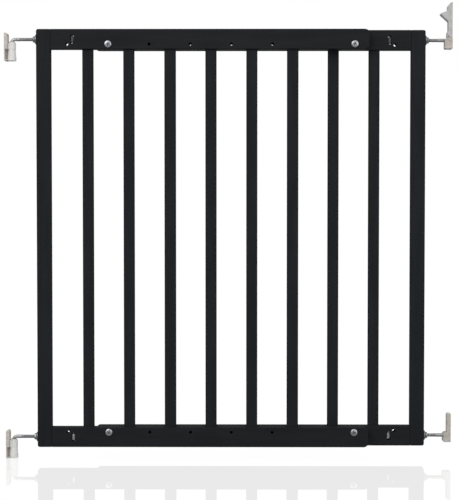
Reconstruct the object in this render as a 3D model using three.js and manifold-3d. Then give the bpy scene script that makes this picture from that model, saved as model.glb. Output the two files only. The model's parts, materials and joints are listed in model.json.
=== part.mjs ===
// Extending wooden safety gate: two identical slatted half frames bolted through each other, hung on
// two L-shaped screw pins and closed by two straight ones in wall fittings.
//
// Millimetres. +X runs along the gate from the hinge wall to the closing wall, +Z is up and -Y faces
// the room. The origin is the centre of the lower hinge fitting's back face, on the hinge wall.

import * as THREE from 'three';
import * as BufferGeometryUtils from 'three/addons/utils/BufferGeometryUtils.js';
import Module from 'manifold-3d';

const wasm = await Module();
wasm.setup();

// ---------------------------------------------------------------- driving dimensions

// Fits
const CLEARANCE = 0.3; // air left between any two pieces that touch or run on each other
const BORE_CLEARANCE = 0.4; // air all round a pin in its wooden bore
const CUT_OVERRUN = 1; // how far a cutting body reaches past the face it opens
const JOIN_OVERLAP = 0.5; // how far two shapes of one piece run into each other before they are joined

// Half frame
const FRAME_HEIGHT = 720;
const BOARD_THICKNESS = 18; // stiles and rails, front to back
const STILE_WIDTH = 24.5;
const RAIL_HEIGHT = 34.5;
const BAR_WIDTH = 19;
const BAR_THICKNESS = 10;
const BAR_PITCH = 70.5;
const BAR_COUNT = 6;
const FIRST_BAR = 88.2; // outer stile face to the middle of the first bar
const BAR_EDGE_RADIUS = 2;
const BAR_TENON = 10; // how deep a bar stands in each rail
const RAIL_END_RADIUS = 8;
const BOARD_CORNER_RADIUS = 3.5;
const BOARD_EDGE_ROUND = 1.9;
const JOINT_CORNER_RADIUS = 2; // outline corners where a rail meets its stile
const DOWEL_RADIUS = 3;
const DOWEL_OFFSET = 10.75; // above and below the rail's middle
const DOWEL_IN_STILE = 12;
const DOWEL_IN_RAIL = 17;

// Connector holes and screws
const HOLE_RADIUS = 2.75;
const HOLE_FROM_EDGE = 26; // outer edge of a rail to its row of holes
const HOLE_COUNT = 6; // holes midway between the bars
const END_HOLE_STEP = 7; // hole spaces from the first hole to the end hole
const HOLE_END_MARGIN = 25; // end hole to the free end of the rail
const SETTING = 1; // which hole of one half meets the end hole of the other
const HALF_GAP = 0.5; // between the two half frames
const CONNECTOR_HEAD_RADIUS = 6.1;
const CONNECTOR_HEAD_HEIGHT = 2.6;
const HEAD_RIM_SHARE = 0.45; // of the head's height
const HEAD_SHOULDER_INSET = 0.9;
const HEAD_SHOULDER_DROP = 0.5; // below the crown
const HEAD_CROWN_INSET = 2.4;
const CONNECTOR_SCREW_RADIUS = 1.6;
const CONNECTOR_SCREW_LENGTH = 30;
const SLEEVE_WALL = 0.55;
const SLEEVE_LENGTH = 30;
const RECESS_WIDTH = 1.3;
const RECESS_SPAN = 6;
const RECESS_DEPTH = 1.6;

// Screw pins and their nuts
const PIN_RADIUS = 3;
const PIN_IN_FRAME = 80; // from the stile's outer face inwards
const PIN_ADJUSTMENT = 15; // how much deeper a pin can be screwed in
const PIN_BEND_RADIUS = 6.5;
const PIN_TIP_CHAMFER = 0.7;
const SLOT_FROM_EDGE = 62; // outer stile face to the slot nut
const SLOT_HEIGHT = 15;
const SLOT_END_SHARE = 0.98; // how nearly the slot's ends are full half rounds
const SLOT_NUT_THICKNESS = 5;
const SLOT_NUT_HEIGHT = 11;
const SLOT_NUT_DEPTH = 14;
const FLANGE_RADIUS = 8.4;
const FLANGE_RIM = 1.4;
const FLANGE_CONE = 1.8;
const NUT_ACROSS_FLATS = 10;
const NUT_LENGTH = 6;

// Hinge fittings, with heights from the pin's axis
const HINGE_GAP = 54.7; // hinge wall to the frame
const HINGE_AXIS = 11.9; // hinge wall to the axis that the gate turns about
const HINGE_PLATE_WIDTH = 22;
const HINGE_PLATE_THICKNESS = 5.6;
const HINGE_PLATE_TOP = 10.7;
const HINGE_PLATE_HEIGHT = 47.4;
const HINGE_PLATE_ROUND = 2.4;
const HINGE_SKIN = 1.9; // the thin lower half of the plate, behind the cup
const HINGE_SHELF = 2.4; // joins the cup's foot to the plate
const HINGE_RIB = 2.4; // joins the cup to the skin, between collar and shelf
const CUP_RADIUS = 7.2;
const CUP_FOOT_RADIUS = 8;
const CUP_LIP_WIDTH = 0.5;
const CUP_COLLAR_DEPTH = 11.3; // down from the cup's top
const CUP_COLLAR_STEP = 0.4;
const CUP_FLOOR = 3.4;
const CUP_BRIDGE_WIDTH = 13; // joins the collar to the plate
const HINGE_SCREW_OFFSET = 6.2;
const HINGE_SCREW_RISE = 3.5;
const BUSH_WALL = 1.4;
const BUSH_ABOVE_FLOOR = 2.8; // air under the bush, where the pin's foot turns
const BUSH_FLANGE_RADIUS = 5.8;
const BUSH_FLANGE_HEIGHT = 1.2;
const BUSH_BELOW_ROD = 1.3; // air between the pin's level stretch and the bush
const BUSH_COUNTERSINK = 1.2;

// Wall fittings in general
const EDGE_ROUND = 0.5;
const WALL_SCREW_RADIUS = 2.25;
const WALL_SCREW_HEAD_RADIUS = 3.9;

// Closing fittings, with heights from the pin's axis
const CLOSING_GAP = 46.5; // frame to the closing wall
const LATCH_REACH = 13.2;
const LATCH_WIDTH = 18;
const CHANNEL_SIDE_CLEARANCE = 0.5;
const FOOT_ROUND = 2;
const LOWER_PLATE_THICKNESS = 6.5;
const LOWER_PLATE_TOP = 38.5;
const LOWER_PLATE_BOTTOM = 11;
const LOWER_PLATE_ROUND = 2.4;
const LOWER_WALL_HEIGHT = 3.2;
const LOWER_WALL_RISE = 3.8;
const LOWER_SLIT = 1.6;
const LOWER_SCREW_FIRST = 16.5;
const LOWER_SCREW_PITCH = 13;
const UPPER_BASE_BOTTOM = 15;
const UPPER_WALL_HEIGHT = 1;

// Lock slider on the upper closing fitting
const RUNNER_WEB_WIDTH = 7;
const RUNNER_WEB_DEPTH = 2.2;
const RUNNER_FLANGE_WIDTH = 12;
const RUNNER_FLANGE_DEPTH = 2.5;
const RUNNER_TOP = 48;
const RUNNER_SCREW_FIRST = 20;
const RUNNER_SCREW_PITCH = 18;
const SLIDER_FOOT = 4.6;
const SLIDER_DEPTH = 7.2;
const SLIDER_NOSE_DEPTH = 9.2;
const SLIDER_NOSE_TOP = 14;
const NOSE_SLOPE = 3;
const NOSE_HOLE_RADIUS = 1.1; // a cross hole, from front to back
const NOSE_HOLE_DEPTH = 7;
const NOSE_HOLE_HEIGHT = 6.6;
const TAB_REACH = 20.4;
const TAB_HEIGHT = 45.2;
const TAB_BOTTOM = 32;
const TAB_TOP = 50.4;
const TAB_TIP_RADIUS = 1.2;
const HEAD_DEPTH = 8.2;
const HEAD_SHOULDER = 58.2;
const SLIDER_TOP = 65;
const SLIDER_TIP_DEPTH = 2.8;

// Facets
const PIN_SIDES = 12;
const ROUND_SIDES = 16;
const CUP_SIDES = 24;
const HOLE_SIDES = 8;
const CORNER_STEPS = 4; // straight steps in each rounded corner of a board or plate
const BAR_CORNER_STEPS = 2;
const BEND_STEPS = 5;
const ARC_SHARE = 2; // three.js gives an arc twice as many steps as curveSegments says

// ---------------------------------------------------------------- sizes that follow

const PIN_FROM_EDGE = RAIL_HEIGHT / 2;
const UPPER_AXIS_ABOVE_LOWER = FRAME_HEIGHT - 2 * PIN_FROM_EDGE;
const LOWER_AXIS_Z = HINGE_PLATE_HEIGHT / 2 - HINGE_PLATE_TOP;
const UPPER_AXIS_Z = LOWER_AXIS_Z + UPPER_AXIS_ABOVE_LOWER;
const FRAME_BOTTOM_Z = LOWER_AXIS_Z - PIN_FROM_EDGE;
const FIRST_HOLE = FIRST_BAR - BAR_PITCH / 2;
const END_HOLE = FIRST_HOLE + END_HOLE_STEP * BAR_PITCH;
const HALF_LENGTH = END_HOLE + HOLE_END_MARGIN;
const SETTING_HOLE = FIRST_HOLE + SETTING * BAR_PITCH;
const FRAME_LENGTH = END_HOLE + SETTING_HOLE;
const HALF_STEP = BOARD_THICKNESS + HALF_GAP; // middle of the front half to the middle of the rear one
const CLOSING_WALL_X = HINGE_GAP + FRAME_LENGTH + CLOSING_GAP;
const PIN_BORE_RADIUS = PIN_RADIUS + BORE_CLEARANCE;
const PIN_BORE_DEPTH = PIN_IN_FRAME + PIN_ADJUSTMENT + 3 * CLEARANCE;
const SLOT_WIDTH = SLOT_NUT_THICKNESS + 2 * CLEARANCE;
const DOWEL_HOLE_RADIUS = DOWEL_RADIUS + CLEARANCE;
const SLEEVE_OUTER_RADIUS = HOLE_RADIUS - CLEARANCE;
const SLEEVE_BORE_RADIUS = SLEEVE_OUTER_RADIUS - SLEEVE_WALL;
const BUSH_TOP = -PIN_RADIUS - BUSH_BELOW_ROD;
const CUP_TOP = BUSH_TOP - BUSH_FLANGE_HEIGHT - CLEARANCE;
const CUP_BOTTOM = HINGE_PLATE_TOP - HINGE_PLATE_HEIGHT;
const CUP_FLOOR_Z = CUP_BOTTOM + CUP_FLOOR;
const BUSH_BOTTOM = CUP_FLOOR_Z + BUSH_ABOVE_FLOOR;
const BUSH_BORE_RADIUS = PIN_RADIUS + CLEARANCE;
const BUSH_OUTER_RADIUS = BUSH_BORE_RADIUS + BUSH_WALL;
const CUP_BORE_RADIUS = BUSH_OUTER_RADIUS + CLEARANCE;
const PIN_LEG_END = CUP_FLOOR_Z + CLEARANCE;
const CHANNEL_WIDTH = 2 * (PIN_RADIUS + CHANNEL_SIDE_CLEARANCE);
const LATCH_FLOOR = LOWER_PLATE_THICKNESS + CLEARANCE; // closing wall to the back of the pin's channel
const CLOSING_PIN_TIP = LATCH_FLOOR + CLEARANCE; // closing wall to the pin's tip
const RUNNER_DEPTH = RUNNER_WEB_DEPTH + RUNNER_FLANGE_DEPTH;
const UPPER_BASE_TOP = SLIDER_FOOT - CLEARANCE;

// ---------------------------------------------------------------- finishes

const finishes = {
  lacquer: { color: 0x24272b, roughness: 0.38, metalness: 0 },
  beech: { color: 0xc9a57a, roughness: 0.7, metalness: 0 },
  zinc: { color: 0x9a9ca2, roughness: 0.3, metalness: 1 },
  fitting: { color: 0xd8d0c2, roughness: 0.5, metalness: 0 },
  bush: { color: 0xe4e0d8, roughness: 0.45, metalness: 0 },
  slider: { color: 0xb4b5b2, roughness: 0.45, metalness: 0 },
};

// ---------------------------------------------------------------- solids

function solidFrom(geometry) {
  const bare = geometry.clone();
  bare.deleteAttribute('normal');
  bare.deleteAttribute('uv');
  const merged = BufferGeometryUtils.mergeVertices(bare, 1e-4);
  return new wasm.Manifold(
    new wasm.Mesh({
      numProp: 3,
      vertProperties: new Float32Array(merged.attributes.position.array),
      triVerts: new Uint32Array(merged.index.array),
    }),
  );
}

function geometryFrom(solid) {
  const mesh = solid.getMesh();
  const geometry = new THREE.BufferGeometry();
  geometry.setAttribute('position', new THREE.BufferAttribute(mesh.vertProperties, 3));
  geometry.setIndex(new THREE.BufferAttribute(mesh.triVerts, 1));
  geometry.computeVertexNormals();
  return geometry;
}

function joined(...solids) {
  return solids.reduce((whole, solid) => whole.add(solid));
}

function cut(solid, ...tools) {
  return tools.reduce((left, tool) => left.subtract(tool), solid);
}

// A box between two corners.
function block([x0, y0, z0], [x1, y1, z1]) {
  const geometry = new THREE.BoxGeometry(x1 - x0, y1 - y0, z1 - z0);
  geometry.translate((x0 + x1) / 2, (y0 + y1) / 2, (z0 + z1) / 2);
  return solidFrom(geometry);
}

// A profile of [radius, height] points turned about the Z axis.
function turned(profile, sides) {
  const points = profile.map(([radius, height]) => new THREE.Vector2(radius, height));
  const geometry = new THREE.LatheGeometry(points, sides);
  geometry.rotateX(Math.PI / 2);
  return geometry;
}

function cylinder(radius, from, to, sides) {
  return turned([[0, from], [radius, from], [radius, to], [0, to]], sides);
}

// Turned geometry laid along +X or along +Y instead of +Z.
function alongX(geometry) {
  return geometry.rotateY(Math.PI / 2);
}

function alongY(geometry) {
  return geometry.rotateX(-Math.PI / 2);
}

// An outline drawn in X and Z, given the depth of a board and centred on Y = 0.
function board(outline, depth, edgeRound = 0) {
  const geometry = new THREE.ExtrudeGeometry(outline, {
    depth: depth - 2 * edgeRound,
    bevelEnabled: edgeRound > 0,
    bevelThickness: edgeRound,
    bevelSize: edgeRound,
    bevelOffset: -edgeRound,
    bevelSegments: 1,
    curveSegments: CORNER_STEPS / ARC_SHARE,
  });
  geometry.translate(0, 0, edgeRound - depth / 2);
  geometry.rotateX(Math.PI / 2);
  return geometry;
}

// A rectangle with its own radius at each corner, from the lower left one anticlockwise.
function roundedRectangle(x0, y0, x1, y1, [lowerLeft, lowerRight, upperRight, upperLeft]) {
  const shape = new THREE.Shape();
  shape.moveTo(x0 + lowerLeft, y0);
  shape.lineTo(x1 - lowerRight, y0);
  shape.absarc(x1 - lowerRight, y0 + lowerRight, lowerRight, -Math.PI / 2, 0);
  shape.lineTo(x1, y1 - upperRight);
  shape.absarc(x1 - upperRight, y1 - upperRight, upperRight, 0, Math.PI / 2);
  shape.lineTo(x0 + upperLeft, y1);
  shape.absarc(x0 + upperLeft, y1 - upperLeft, upperLeft, Math.PI / 2, Math.PI);
  shape.lineTo(x0, y0 + lowerLeft);
  shape.absarc(x0 + lowerLeft, y0 + lowerLeft, lowerLeft, Math.PI, 1.5 * Math.PI);
  return shape;
}

// A countersunk hole for a wall screw, along X, with the head at the larger X.
function wallScrewHole(y, z, thickness) {
  const neck = thickness - (WALL_SCREW_HEAD_RADIUS - WALL_SCREW_RADIUS);
  const profile = [
    [0, -CUT_OVERRUN],
    [WALL_SCREW_RADIUS, -CUT_OVERRUN],
    [WALL_SCREW_RADIUS, neck],
    [WALL_SCREW_HEAD_RADIUS, thickness],
    [WALL_SCREW_HEAD_RADIUS, thickness + CUT_OVERRUN],
    [0, thickness + CUT_OVERRUN],
  ];
  const geometry = alongX(turned(profile, PIN_SIDES));
  geometry.translate(0, y, z);
  return solidFrom(geometry);
}

function piece(name, geometry, finish, position = [0, 0, 0]) {
  const mesh = new THREE.Mesh(geometry, new THREE.MeshStandardMaterial(finish));
  mesh.name = name;
  mesh.position.set(...position);
  return mesh;
}

// ---------------------------------------------------------------- half frame
// Drawn from its outer stile face at X = 0 towards its free end, with its foot at Z = 0.

const rails = [
  { name: 'bottom', axis: PIN_FROM_EDGE, inner: 1 },
  { name: 'top', axis: FRAME_HEIGHT - PIN_FROM_EDGE, inner: -1 },
];

function dowelHeights() {
  return rails.flatMap((rail) => [rail.axis - DOWEL_OFFSET, rail.axis + DOWEL_OFFSET]);
}

function levelBore(radius, from, to, z, sides) {
  const geometry = alongX(cylinder(radius, from, to, sides));
  geometry.translate(0, 0, z);
  return solidFrom(geometry);
}

function stileGeometry() {
  const radii = [BOARD_CORNER_RADIUS, JOINT_CORNER_RADIUS, JOINT_CORNER_RADIUS, BOARD_CORNER_RADIUS];
  const outline = roundedRectangle(0, 0, STILE_WIDTH, FRAME_HEIGHT, radii);
  const body = solidFrom(board(outline, BOARD_THICKNESS, BOARD_EDGE_ROUND));
  const bores = rails.map((rail) =>
    levelBore(PIN_BORE_RADIUS, -CUT_OVERRUN, STILE_WIDTH + CUT_OVERRUN, rail.axis, PIN_SIDES),
  );
  const dowelHoles = dowelHeights().map((z) =>
    levelBore(
      DOWEL_HOLE_RADIUS,
      STILE_WIDTH - DOWEL_IN_STILE - CLEARANCE,
      STILE_WIDTH + CUT_OVERRUN,
      z,
      PIN_SIDES,
    ),
  );
  return geometryFrom(cut(body, ...bores, ...dowelHoles));
}

function connectorHoles(z) {
  const betweenBars = Array.from({ length: HOLE_COUNT }, (_, k) => FIRST_HOLE + k * BAR_PITCH);
  const reach = BOARD_THICKNESS / 2 + CUT_OVERRUN;
  return [...betweenBars, END_HOLE].map((x) => {
    const geometry = alongY(cylinder(HOLE_RADIUS, -reach, reach, PIN_SIDES));
    geometry.translate(x, 0, z);
    return solidFrom(geometry);
  });
}

function barMortises(rail) {
  const innerEdge = rail.axis + (rail.inner * RAIL_HEIGHT) / 2;
  const mouth = innerEdge + rail.inner * CUT_OVERRUN;
  const floor = innerEdge - rail.inner * (BAR_TENON + CLEARANCE);
  const low = Math.min(mouth, floor);
  const high = Math.max(mouth, floor);
  const halfWidth = BAR_WIDTH / 2 + CLEARANCE;
  const halfDepth = BAR_THICKNESS / 2 + CLEARANCE;
  return barPlaces().map((x) => block([x - halfWidth, -halfDepth, low], [x + halfWidth, halfDepth, high]));
}

function nutSlot(z) {
  const radius = SLOT_WIDTH / 2;
  const outline = roundedRectangle(
    SLOT_FROM_EDGE - radius,
    z - SLOT_HEIGHT / 2,
    SLOT_FROM_EDGE + radius,
    z + SLOT_HEIGHT / 2,
    Array(4).fill(SLOT_END_SHARE * radius),
  );
  return solidFrom(board(outline, BOARD_THICKNESS + 2 * CUT_OVERRUN));
}

function railGeometry(rail) {
  const start = STILE_WIDTH + CLEARANCE;
  const low = rail.axis - RAIL_HEIGHT / 2;
  const high = rail.axis + RAIL_HEIGHT / 2;
  const radii = [JOINT_CORNER_RADIUS, RAIL_END_RADIUS, RAIL_END_RADIUS, JOINT_CORNER_RADIUS];
  const outline = roundedRectangle(start, low, HALF_LENGTH, high, radii);
  const body = solidFrom(board(outline, BOARD_THICKNESS, BOARD_EDGE_ROUND));
  const bore = levelBore(PIN_BORE_RADIUS, start - CUT_OVERRUN, PIN_BORE_DEPTH, rail.axis, PIN_SIDES);
  const dowelHoles = [rail.axis - DOWEL_OFFSET, rail.axis + DOWEL_OFFSET].map((z) =>
    levelBore(DOWEL_HOLE_RADIUS, start - CUT_OVERRUN, start + DOWEL_IN_RAIL + CLEARANCE, z, PIN_SIDES),
  );
  const holeRow = rail.inner > 0 ? HOLE_FROM_EDGE : FRAME_HEIGHT - HOLE_FROM_EDGE;
  const cuts = [bore, ...dowelHoles, nutSlot(rail.axis), ...connectorHoles(holeRow), ...barMortises(rail)];
  return geometryFrom(cut(body, ...cuts));
}

function barPlaces() {
  return Array.from({ length: BAR_COUNT }, (_, k) => FIRST_BAR + k * BAR_PITCH);
}

function barGeometry() {
  const length = FRAME_HEIGHT - 2 * (RAIL_HEIGHT - BAR_TENON);
  const halfWidth = BAR_WIDTH / 2;
  const halfDepth = BAR_THICKNESS / 2;
  const radii = Array(4).fill(BAR_EDGE_RADIUS);
  const section = roundedRectangle(-halfWidth, -halfDepth, halfWidth, halfDepth, radii);
  return new THREE.ExtrudeGeometry(section, {
    depth: length,
    bevelEnabled: false,
    curveSegments: BAR_CORNER_STEPS / ARC_SHARE,
  });
}

function dowelGeometry() {
  const from = STILE_WIDTH - DOWEL_IN_STILE;
  const to = STILE_WIDTH + CLEARANCE + DOWEL_IN_RAIL;
  return alongX(cylinder(DOWEL_RADIUS, from, to, PIN_SIDES));
}

// The slot nut's thread is a plain bore that the pin passes with a clearance.
function slotNutGeometry() {
  const half = [SLOT_NUT_THICKNESS / 2, SLOT_NUT_DEPTH / 2, SLOT_NUT_HEIGHT / 2];
  const body = block(half.map((size) => -size), half);
  const reach = SLOT_NUT_THICKNESS / 2 + CUT_OVERRUN;
  return geometryFrom(cut(body, levelBore(PIN_RADIUS + CLEARANCE, -reach, reach, 0, PIN_SIDES)));
}

// Flanged hexagon nut on the +X side of its seat.
function flangeNutGeometry() {
  const hexRadius = NUT_ACROSS_FLATS / Math.sqrt(3);
  const skirt = [
    [0, 0],
    [FLANGE_RADIUS, 0],
    [FLANGE_RADIUS, FLANGE_RIM],
    [hexRadius, FLANGE_RIM + FLANGE_CONE],
    [0, FLANGE_RIM + FLANGE_CONE],
  ];
  const flange = solidFrom(alongX(turned(skirt, ROUND_SIDES)));
  const hexagon = solidFrom(alongX(cylinder(hexRadius, FLANGE_RIM, NUT_LENGTH, 6)));
  const crown = [
    [0, -CUT_OVERRUN],
    [FLANGE_RADIUS + CUT_OVERRUN, -CUT_OVERRUN],
    [FLANGE_RADIUS + CUT_OVERRUN, FLANGE_RIM + FLANGE_CONE],
    [NUT_ACROSS_FLATS / 2 - CLEARANCE, NUT_LENGTH],
    [0, NUT_LENGTH],
  ];
  const chamfered = joined(flange, hexagon).intersect(solidFrom(alongX(turned(crown, ROUND_SIDES))));
  const bore = levelBore(PIN_RADIUS + CLEARANCE, -CUT_OVERRUN, NUT_LENGTH + CUT_OVERRUN, 0, PIN_SIDES);
  return geometryFrom(cut(chamfered, bore));
}

function halfFrame(prefix) {
  const frame = new THREE.Group();
  frame.add(piece(`${prefix}_stile`, stileGeometry(), finishes.lacquer));
  for (const rail of rails) {
    frame.add(piece(`${prefix}_${rail.name}_rail`, railGeometry(rail), finishes.lacquer));
    const nutPlace = [SLOT_FROM_EDGE, 0, rail.axis];
    frame.add(piece(`${prefix}_${rail.name}_slot_nut`, slotNutGeometry(), finishes.zinc, nutPlace));
    const flangeNut = piece(`${prefix}_${rail.name}_flange_nut`, flangeNutGeometry(), finishes.zinc);
    flangeNut.position.set(-CLEARANCE, 0, rail.axis);
    flangeNut.rotation.z = Math.PI;
    frame.add(flangeNut);
    for (const [place, offset] of [['low', -DOWEL_OFFSET], ['high', DOWEL_OFFSET]]) {
      const name = `${prefix}_${rail.name}_dowel_${place}`;
      frame.add(piece(name, dowelGeometry(), finishes.beech, [0, 0, rail.axis + offset]));
    }
  }
  barPlaces().forEach((x, k) => {
    const name = `${prefix}_bar_${k + 1}`;
    frame.add(piece(name, barGeometry(), finishes.lacquer, [x, 0, RAIL_HEIGHT - BAR_TENON]));
  });
  return frame;
}

// ---------------------------------------------------------------- connectors
// Drawn along +Y with the head's underside at Y = 0.

function panHead(radius) {
  return [
    [radius, 0],
    [radius, -HEAD_RIM_SHARE * CONNECTOR_HEAD_HEIGHT],
    [radius - HEAD_SHOULDER_INSET, HEAD_SHOULDER_DROP - CONNECTOR_HEAD_HEIGHT],
    [radius - HEAD_CROWN_INSET, -CONNECTOR_HEAD_HEIGHT],
    [0, -CONNECTOR_HEAD_HEIGHT],
  ];
}

function crossRecess() {
  const top = -CONNECTOR_HEAD_HEIGHT - CUT_OVERRUN;
  const bottom = -CONNECTOR_HEAD_HEIGHT + RECESS_DEPTH;
  const half = RECESS_SPAN / 2;
  const thin = RECESS_WIDTH / 2;
  return [
    block([-half, top, -thin], [half, bottom, thin]),
    block([-thin, top, -half], [thin, bottom, half]),
  ];
}

function connectorScrewGeometry() {
  const shank = [
    [0, CONNECTOR_SCREW_LENGTH],
    [CONNECTOR_SCREW_RADIUS, CONNECTOR_SCREW_LENGTH],
    [CONNECTOR_SCREW_RADIUS, 0],
  ];
  const profile = [...shank, ...panHead(CONNECTOR_HEAD_RADIUS)].reverse();
  const body = solidFrom(alongY(turned(profile, ROUND_SIDES)));
  return geometryFrom(cut(body, ...crossRecess()));
}

function sleeveNutGeometry() {
  const sleeve = [
    [0, SLEEVE_LENGTH],
    [SLEEVE_OUTER_RADIUS, SLEEVE_LENGTH],
    [SLEEVE_OUTER_RADIUS, 0],
  ];
  const profile = [...sleeve, ...panHead(CONNECTOR_HEAD_RADIUS)].reverse();
  const body = solidFrom(alongY(turned(profile, ROUND_SIDES)));
  const bore = alongY(cylinder(SLEEVE_BORE_RADIUS, 0, SLEEVE_LENGTH + CUT_OVERRUN, PIN_SIDES));
  return geometryFrom(cut(body, solidFrom(bore), ...crossRecess()));
}

function connectors() {
  const group = new THREE.Group();
  const columns = [['hinge_side', HINGE_GAP + SETTING_HOLE], ['closing_side', HINGE_GAP + END_HOLE]];
  const rows = [
    ['bottom', FRAME_BOTTOM_Z + HOLE_FROM_EDGE],
    ['top', FRAME_BOTTOM_Z + FRAME_HEIGHT - HOLE_FROM_EDGE],
  ];
  const front = -BOARD_THICKNESS / 2 - CLEARANCE;
  const back = HALF_STEP + BOARD_THICKNESS / 2 + CLEARANCE;
  for (const [side, x] of columns) {
    for (const [level, z] of rows) {
      const name = `${level}_${side}`;
      group.add(piece(`connector_screw_${name}`, connectorScrewGeometry(), finishes.zinc, [x, front, z]));
      const sleeve = piece(`connector_sleeve_${name}`, sleeveNutGeometry(), finishes.zinc, [x, back, z]);
      sleeve.rotation.z = Math.PI;
      group.add(sleeve);
    }
  }
  return group;
}

// ---------------------------------------------------------------- screw pins

// Rings of a bent rod: the curve steps from corner to corner, so the straight stretches have no rings.
class BentRod extends THREE.Curve {
  constructor(corners) {
    super();
    this.corners = corners;
  }

  getUtoTmapping(u) {
    return u;
  }

  getPoint(t, target = new THREE.Vector3()) {
    const place = Math.min(Math.max(t, 0), 1) * (this.corners.length - 1);
    const index = Math.min(Math.floor(place), this.corners.length - 2);
    return target.lerpVectors(this.corners[index], this.corners[index + 1], place - index);
  }
}

// The hinge pin, with its level stretch on Z = 0 and its leg down the axis at X = HINGE_AXIS.
function hingePinGeometry() {
  const corners = [new THREE.Vector3(HINGE_GAP + PIN_IN_FRAME, 0, 0)];
  for (let k = 0; k <= BEND_STEPS; k += 1) {
    const angle = (k / BEND_STEPS) * (Math.PI / 2);
    const x = HINGE_AXIS + PIN_BEND_RADIUS * (1 - Math.sin(angle));
    const z = PIN_BEND_RADIUS * (Math.cos(angle) - 1);
    corners.push(new THREE.Vector3(x, 0, z));
  }
  corners.push(new THREE.Vector3(HINGE_AXIS, 0, PIN_LEG_END));
  const path = new BentRod(corners);
  const section = new THREE.Shape();
  section.absarc(0, 0, PIN_RADIUS, 0, 2 * Math.PI);
  return new THREE.ExtrudeGeometry(section, {
    steps: corners.length - 1,
    extrudePath: path,
    curveSegments: PIN_SIDES / ARC_SHARE,
  });
}

// The closing pin, from its end in the frame at X = 0 to its tip.
function closingPinGeometry() {
  const length = PIN_IN_FRAME + CLOSING_GAP - CLOSING_PIN_TIP;
  const profile = [
    [0, 0],
    [PIN_RADIUS - PIN_TIP_CHAMFER, 0],
    [PIN_RADIUS, PIN_TIP_CHAMFER],
    [PIN_RADIUS, length - PIN_TIP_CHAMFER],
    [PIN_RADIUS - PIN_TIP_CHAMFER, length],
    [0, length],
  ];
  return alongX(turned(profile, PIN_SIDES));
}

function pins() {
  const group = new THREE.Group();
  const closingStart = HINGE_GAP + FRAME_LENGTH - PIN_IN_FRAME;
  for (const [level, z] of [['lower', LOWER_AXIS_Z], ['upper', UPPER_AXIS_Z]]) {
    group.add(piece(`hinge_pin_${level}`, hingePinGeometry(), finishes.zinc, [0, 0, z]));
    const place = [closingStart, HALF_STEP, z];
    group.add(piece(`closing_pin_${level}`, closingPinGeometry(), finishes.zinc, place));
  }
  return group;
}

// ---------------------------------------------------------------- wall fittings
// Each is drawn with the wall at X = 0, the room at +X and the pin's axis at Z = 0.

function hingePlate() {
  const width = HINGE_PLATE_WIDTH;
  const radii = [EDGE_ROUND, EDGE_ROUND, HINGE_PLATE_ROUND, EDGE_ROUND];
  const outline = roundedRectangle(0, CUP_BOTTOM, HINGE_PLATE_THICKNESS, HINGE_PLATE_TOP, radii);
  const recess = block(
    [HINGE_SKIN, -width / 2 - CUT_OVERRUN, CUP_BOTTOM + HINGE_SHELF],
    [HINGE_PLATE_THICKNESS + CUT_OVERRUN, width / 2 + CUT_OVERRUN, CUP_TOP - CUP_COLLAR_DEPTH],
  );
  return cut(solidFrom(board(outline, width)), recess);
}

// What holds the cup to its plate: the bridge behind the collar and the rib under it.
function cupHolders() {
  const collarBase = CUP_TOP - CUP_COLLAR_DEPTH;
  const bridge = block(
    [HINGE_PLATE_THICKNESS - JOIN_OVERLAP, -CUP_BRIDGE_WIDTH / 2, collarBase],
    [HINGE_AXIS, CUP_BRIDGE_WIDTH / 2, CUP_TOP - JOIN_OVERLAP],
  );
  const rib = block(
    [HINGE_SKIN - JOIN_OVERLAP, -HINGE_RIB / 2, CUP_BOTTOM + HINGE_SHELF - JOIN_OVERLAP],
    [HINGE_AXIS, HINGE_RIB / 2, collarBase + JOIN_OVERLAP],
  );
  return joined(bridge, rib);
}

function hingeCupGeometry() {
  const collarBase = CUP_TOP - CUP_COLLAR_DEPTH;
  const profile = [
    [0, CUP_BOTTOM],
    [CUP_FOOT_RADIUS, CUP_BOTTOM],
    [CUP_FOOT_RADIUS, CUP_BOTTOM + HINGE_SHELF],
    [CUP_RADIUS - CUP_COLLAR_STEP, collarBase],
    [CUP_RADIUS, collarBase],
    [CUP_RADIUS, CUP_TOP - CUP_LIP_WIDTH],
    [CUP_RADIUS - CUP_LIP_WIDTH, CUP_TOP],
    [0, CUP_TOP],
  ];
  const cup = turned(profile, CUP_SIDES);
  cup.translate(HINGE_AXIS, 0, 0);
  const bore = cylinder(CUP_BORE_RADIUS, CUP_FLOOR_Z, CUP_TOP + CUT_OVERRUN, ROUND_SIDES);
  bore.translate(HINGE_AXIS, 0, 0);
  const fluteTop = HINGE_PLATE_TOP + CUT_OVERRUN;
  const flute = cylinder(BUSH_FLANGE_RADIUS + CLEARANCE, CUP_TOP, fluteTop, ROUND_SIDES);
  flute.translate(HINGE_AXIS, 0, 0);
  const screwHoles = [-1, 1].map((side) =>
    wallScrewHole(side * HINGE_SCREW_OFFSET, HINGE_SCREW_RISE, HINGE_PLATE_THICKNESS),
  );
  const body = joined(hingePlate(), cupHolders(), solidFrom(cup));
  return geometryFrom(cut(body, solidFrom(bore), solidFrom(flute), ...screwHoles));
}

// Flanged bush that turns in the cup with the pin, drawn about the hinge axis.
function hingeBushGeometry() {
  const flangeBase = BUSH_TOP - BUSH_FLANGE_HEIGHT;
  const profile = [
    [BUSH_BORE_RADIUS, BUSH_BOTTOM],
    [BUSH_OUTER_RADIUS, BUSH_BOTTOM],
    [BUSH_OUTER_RADIUS, flangeBase],
    [BUSH_FLANGE_RADIUS, flangeBase],
    [BUSH_FLANGE_RADIUS, BUSH_TOP],
    [BUSH_BORE_RADIUS + BUSH_COUNTERSINK, BUSH_TOP],
    [BUSH_BORE_RADIUS, BUSH_TOP - BUSH_COUNTERSINK],
    [BUSH_BORE_RADIUS, BUSH_BOTTOM],
  ];
  return turned(profile, ROUND_SIDES);
}

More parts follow.
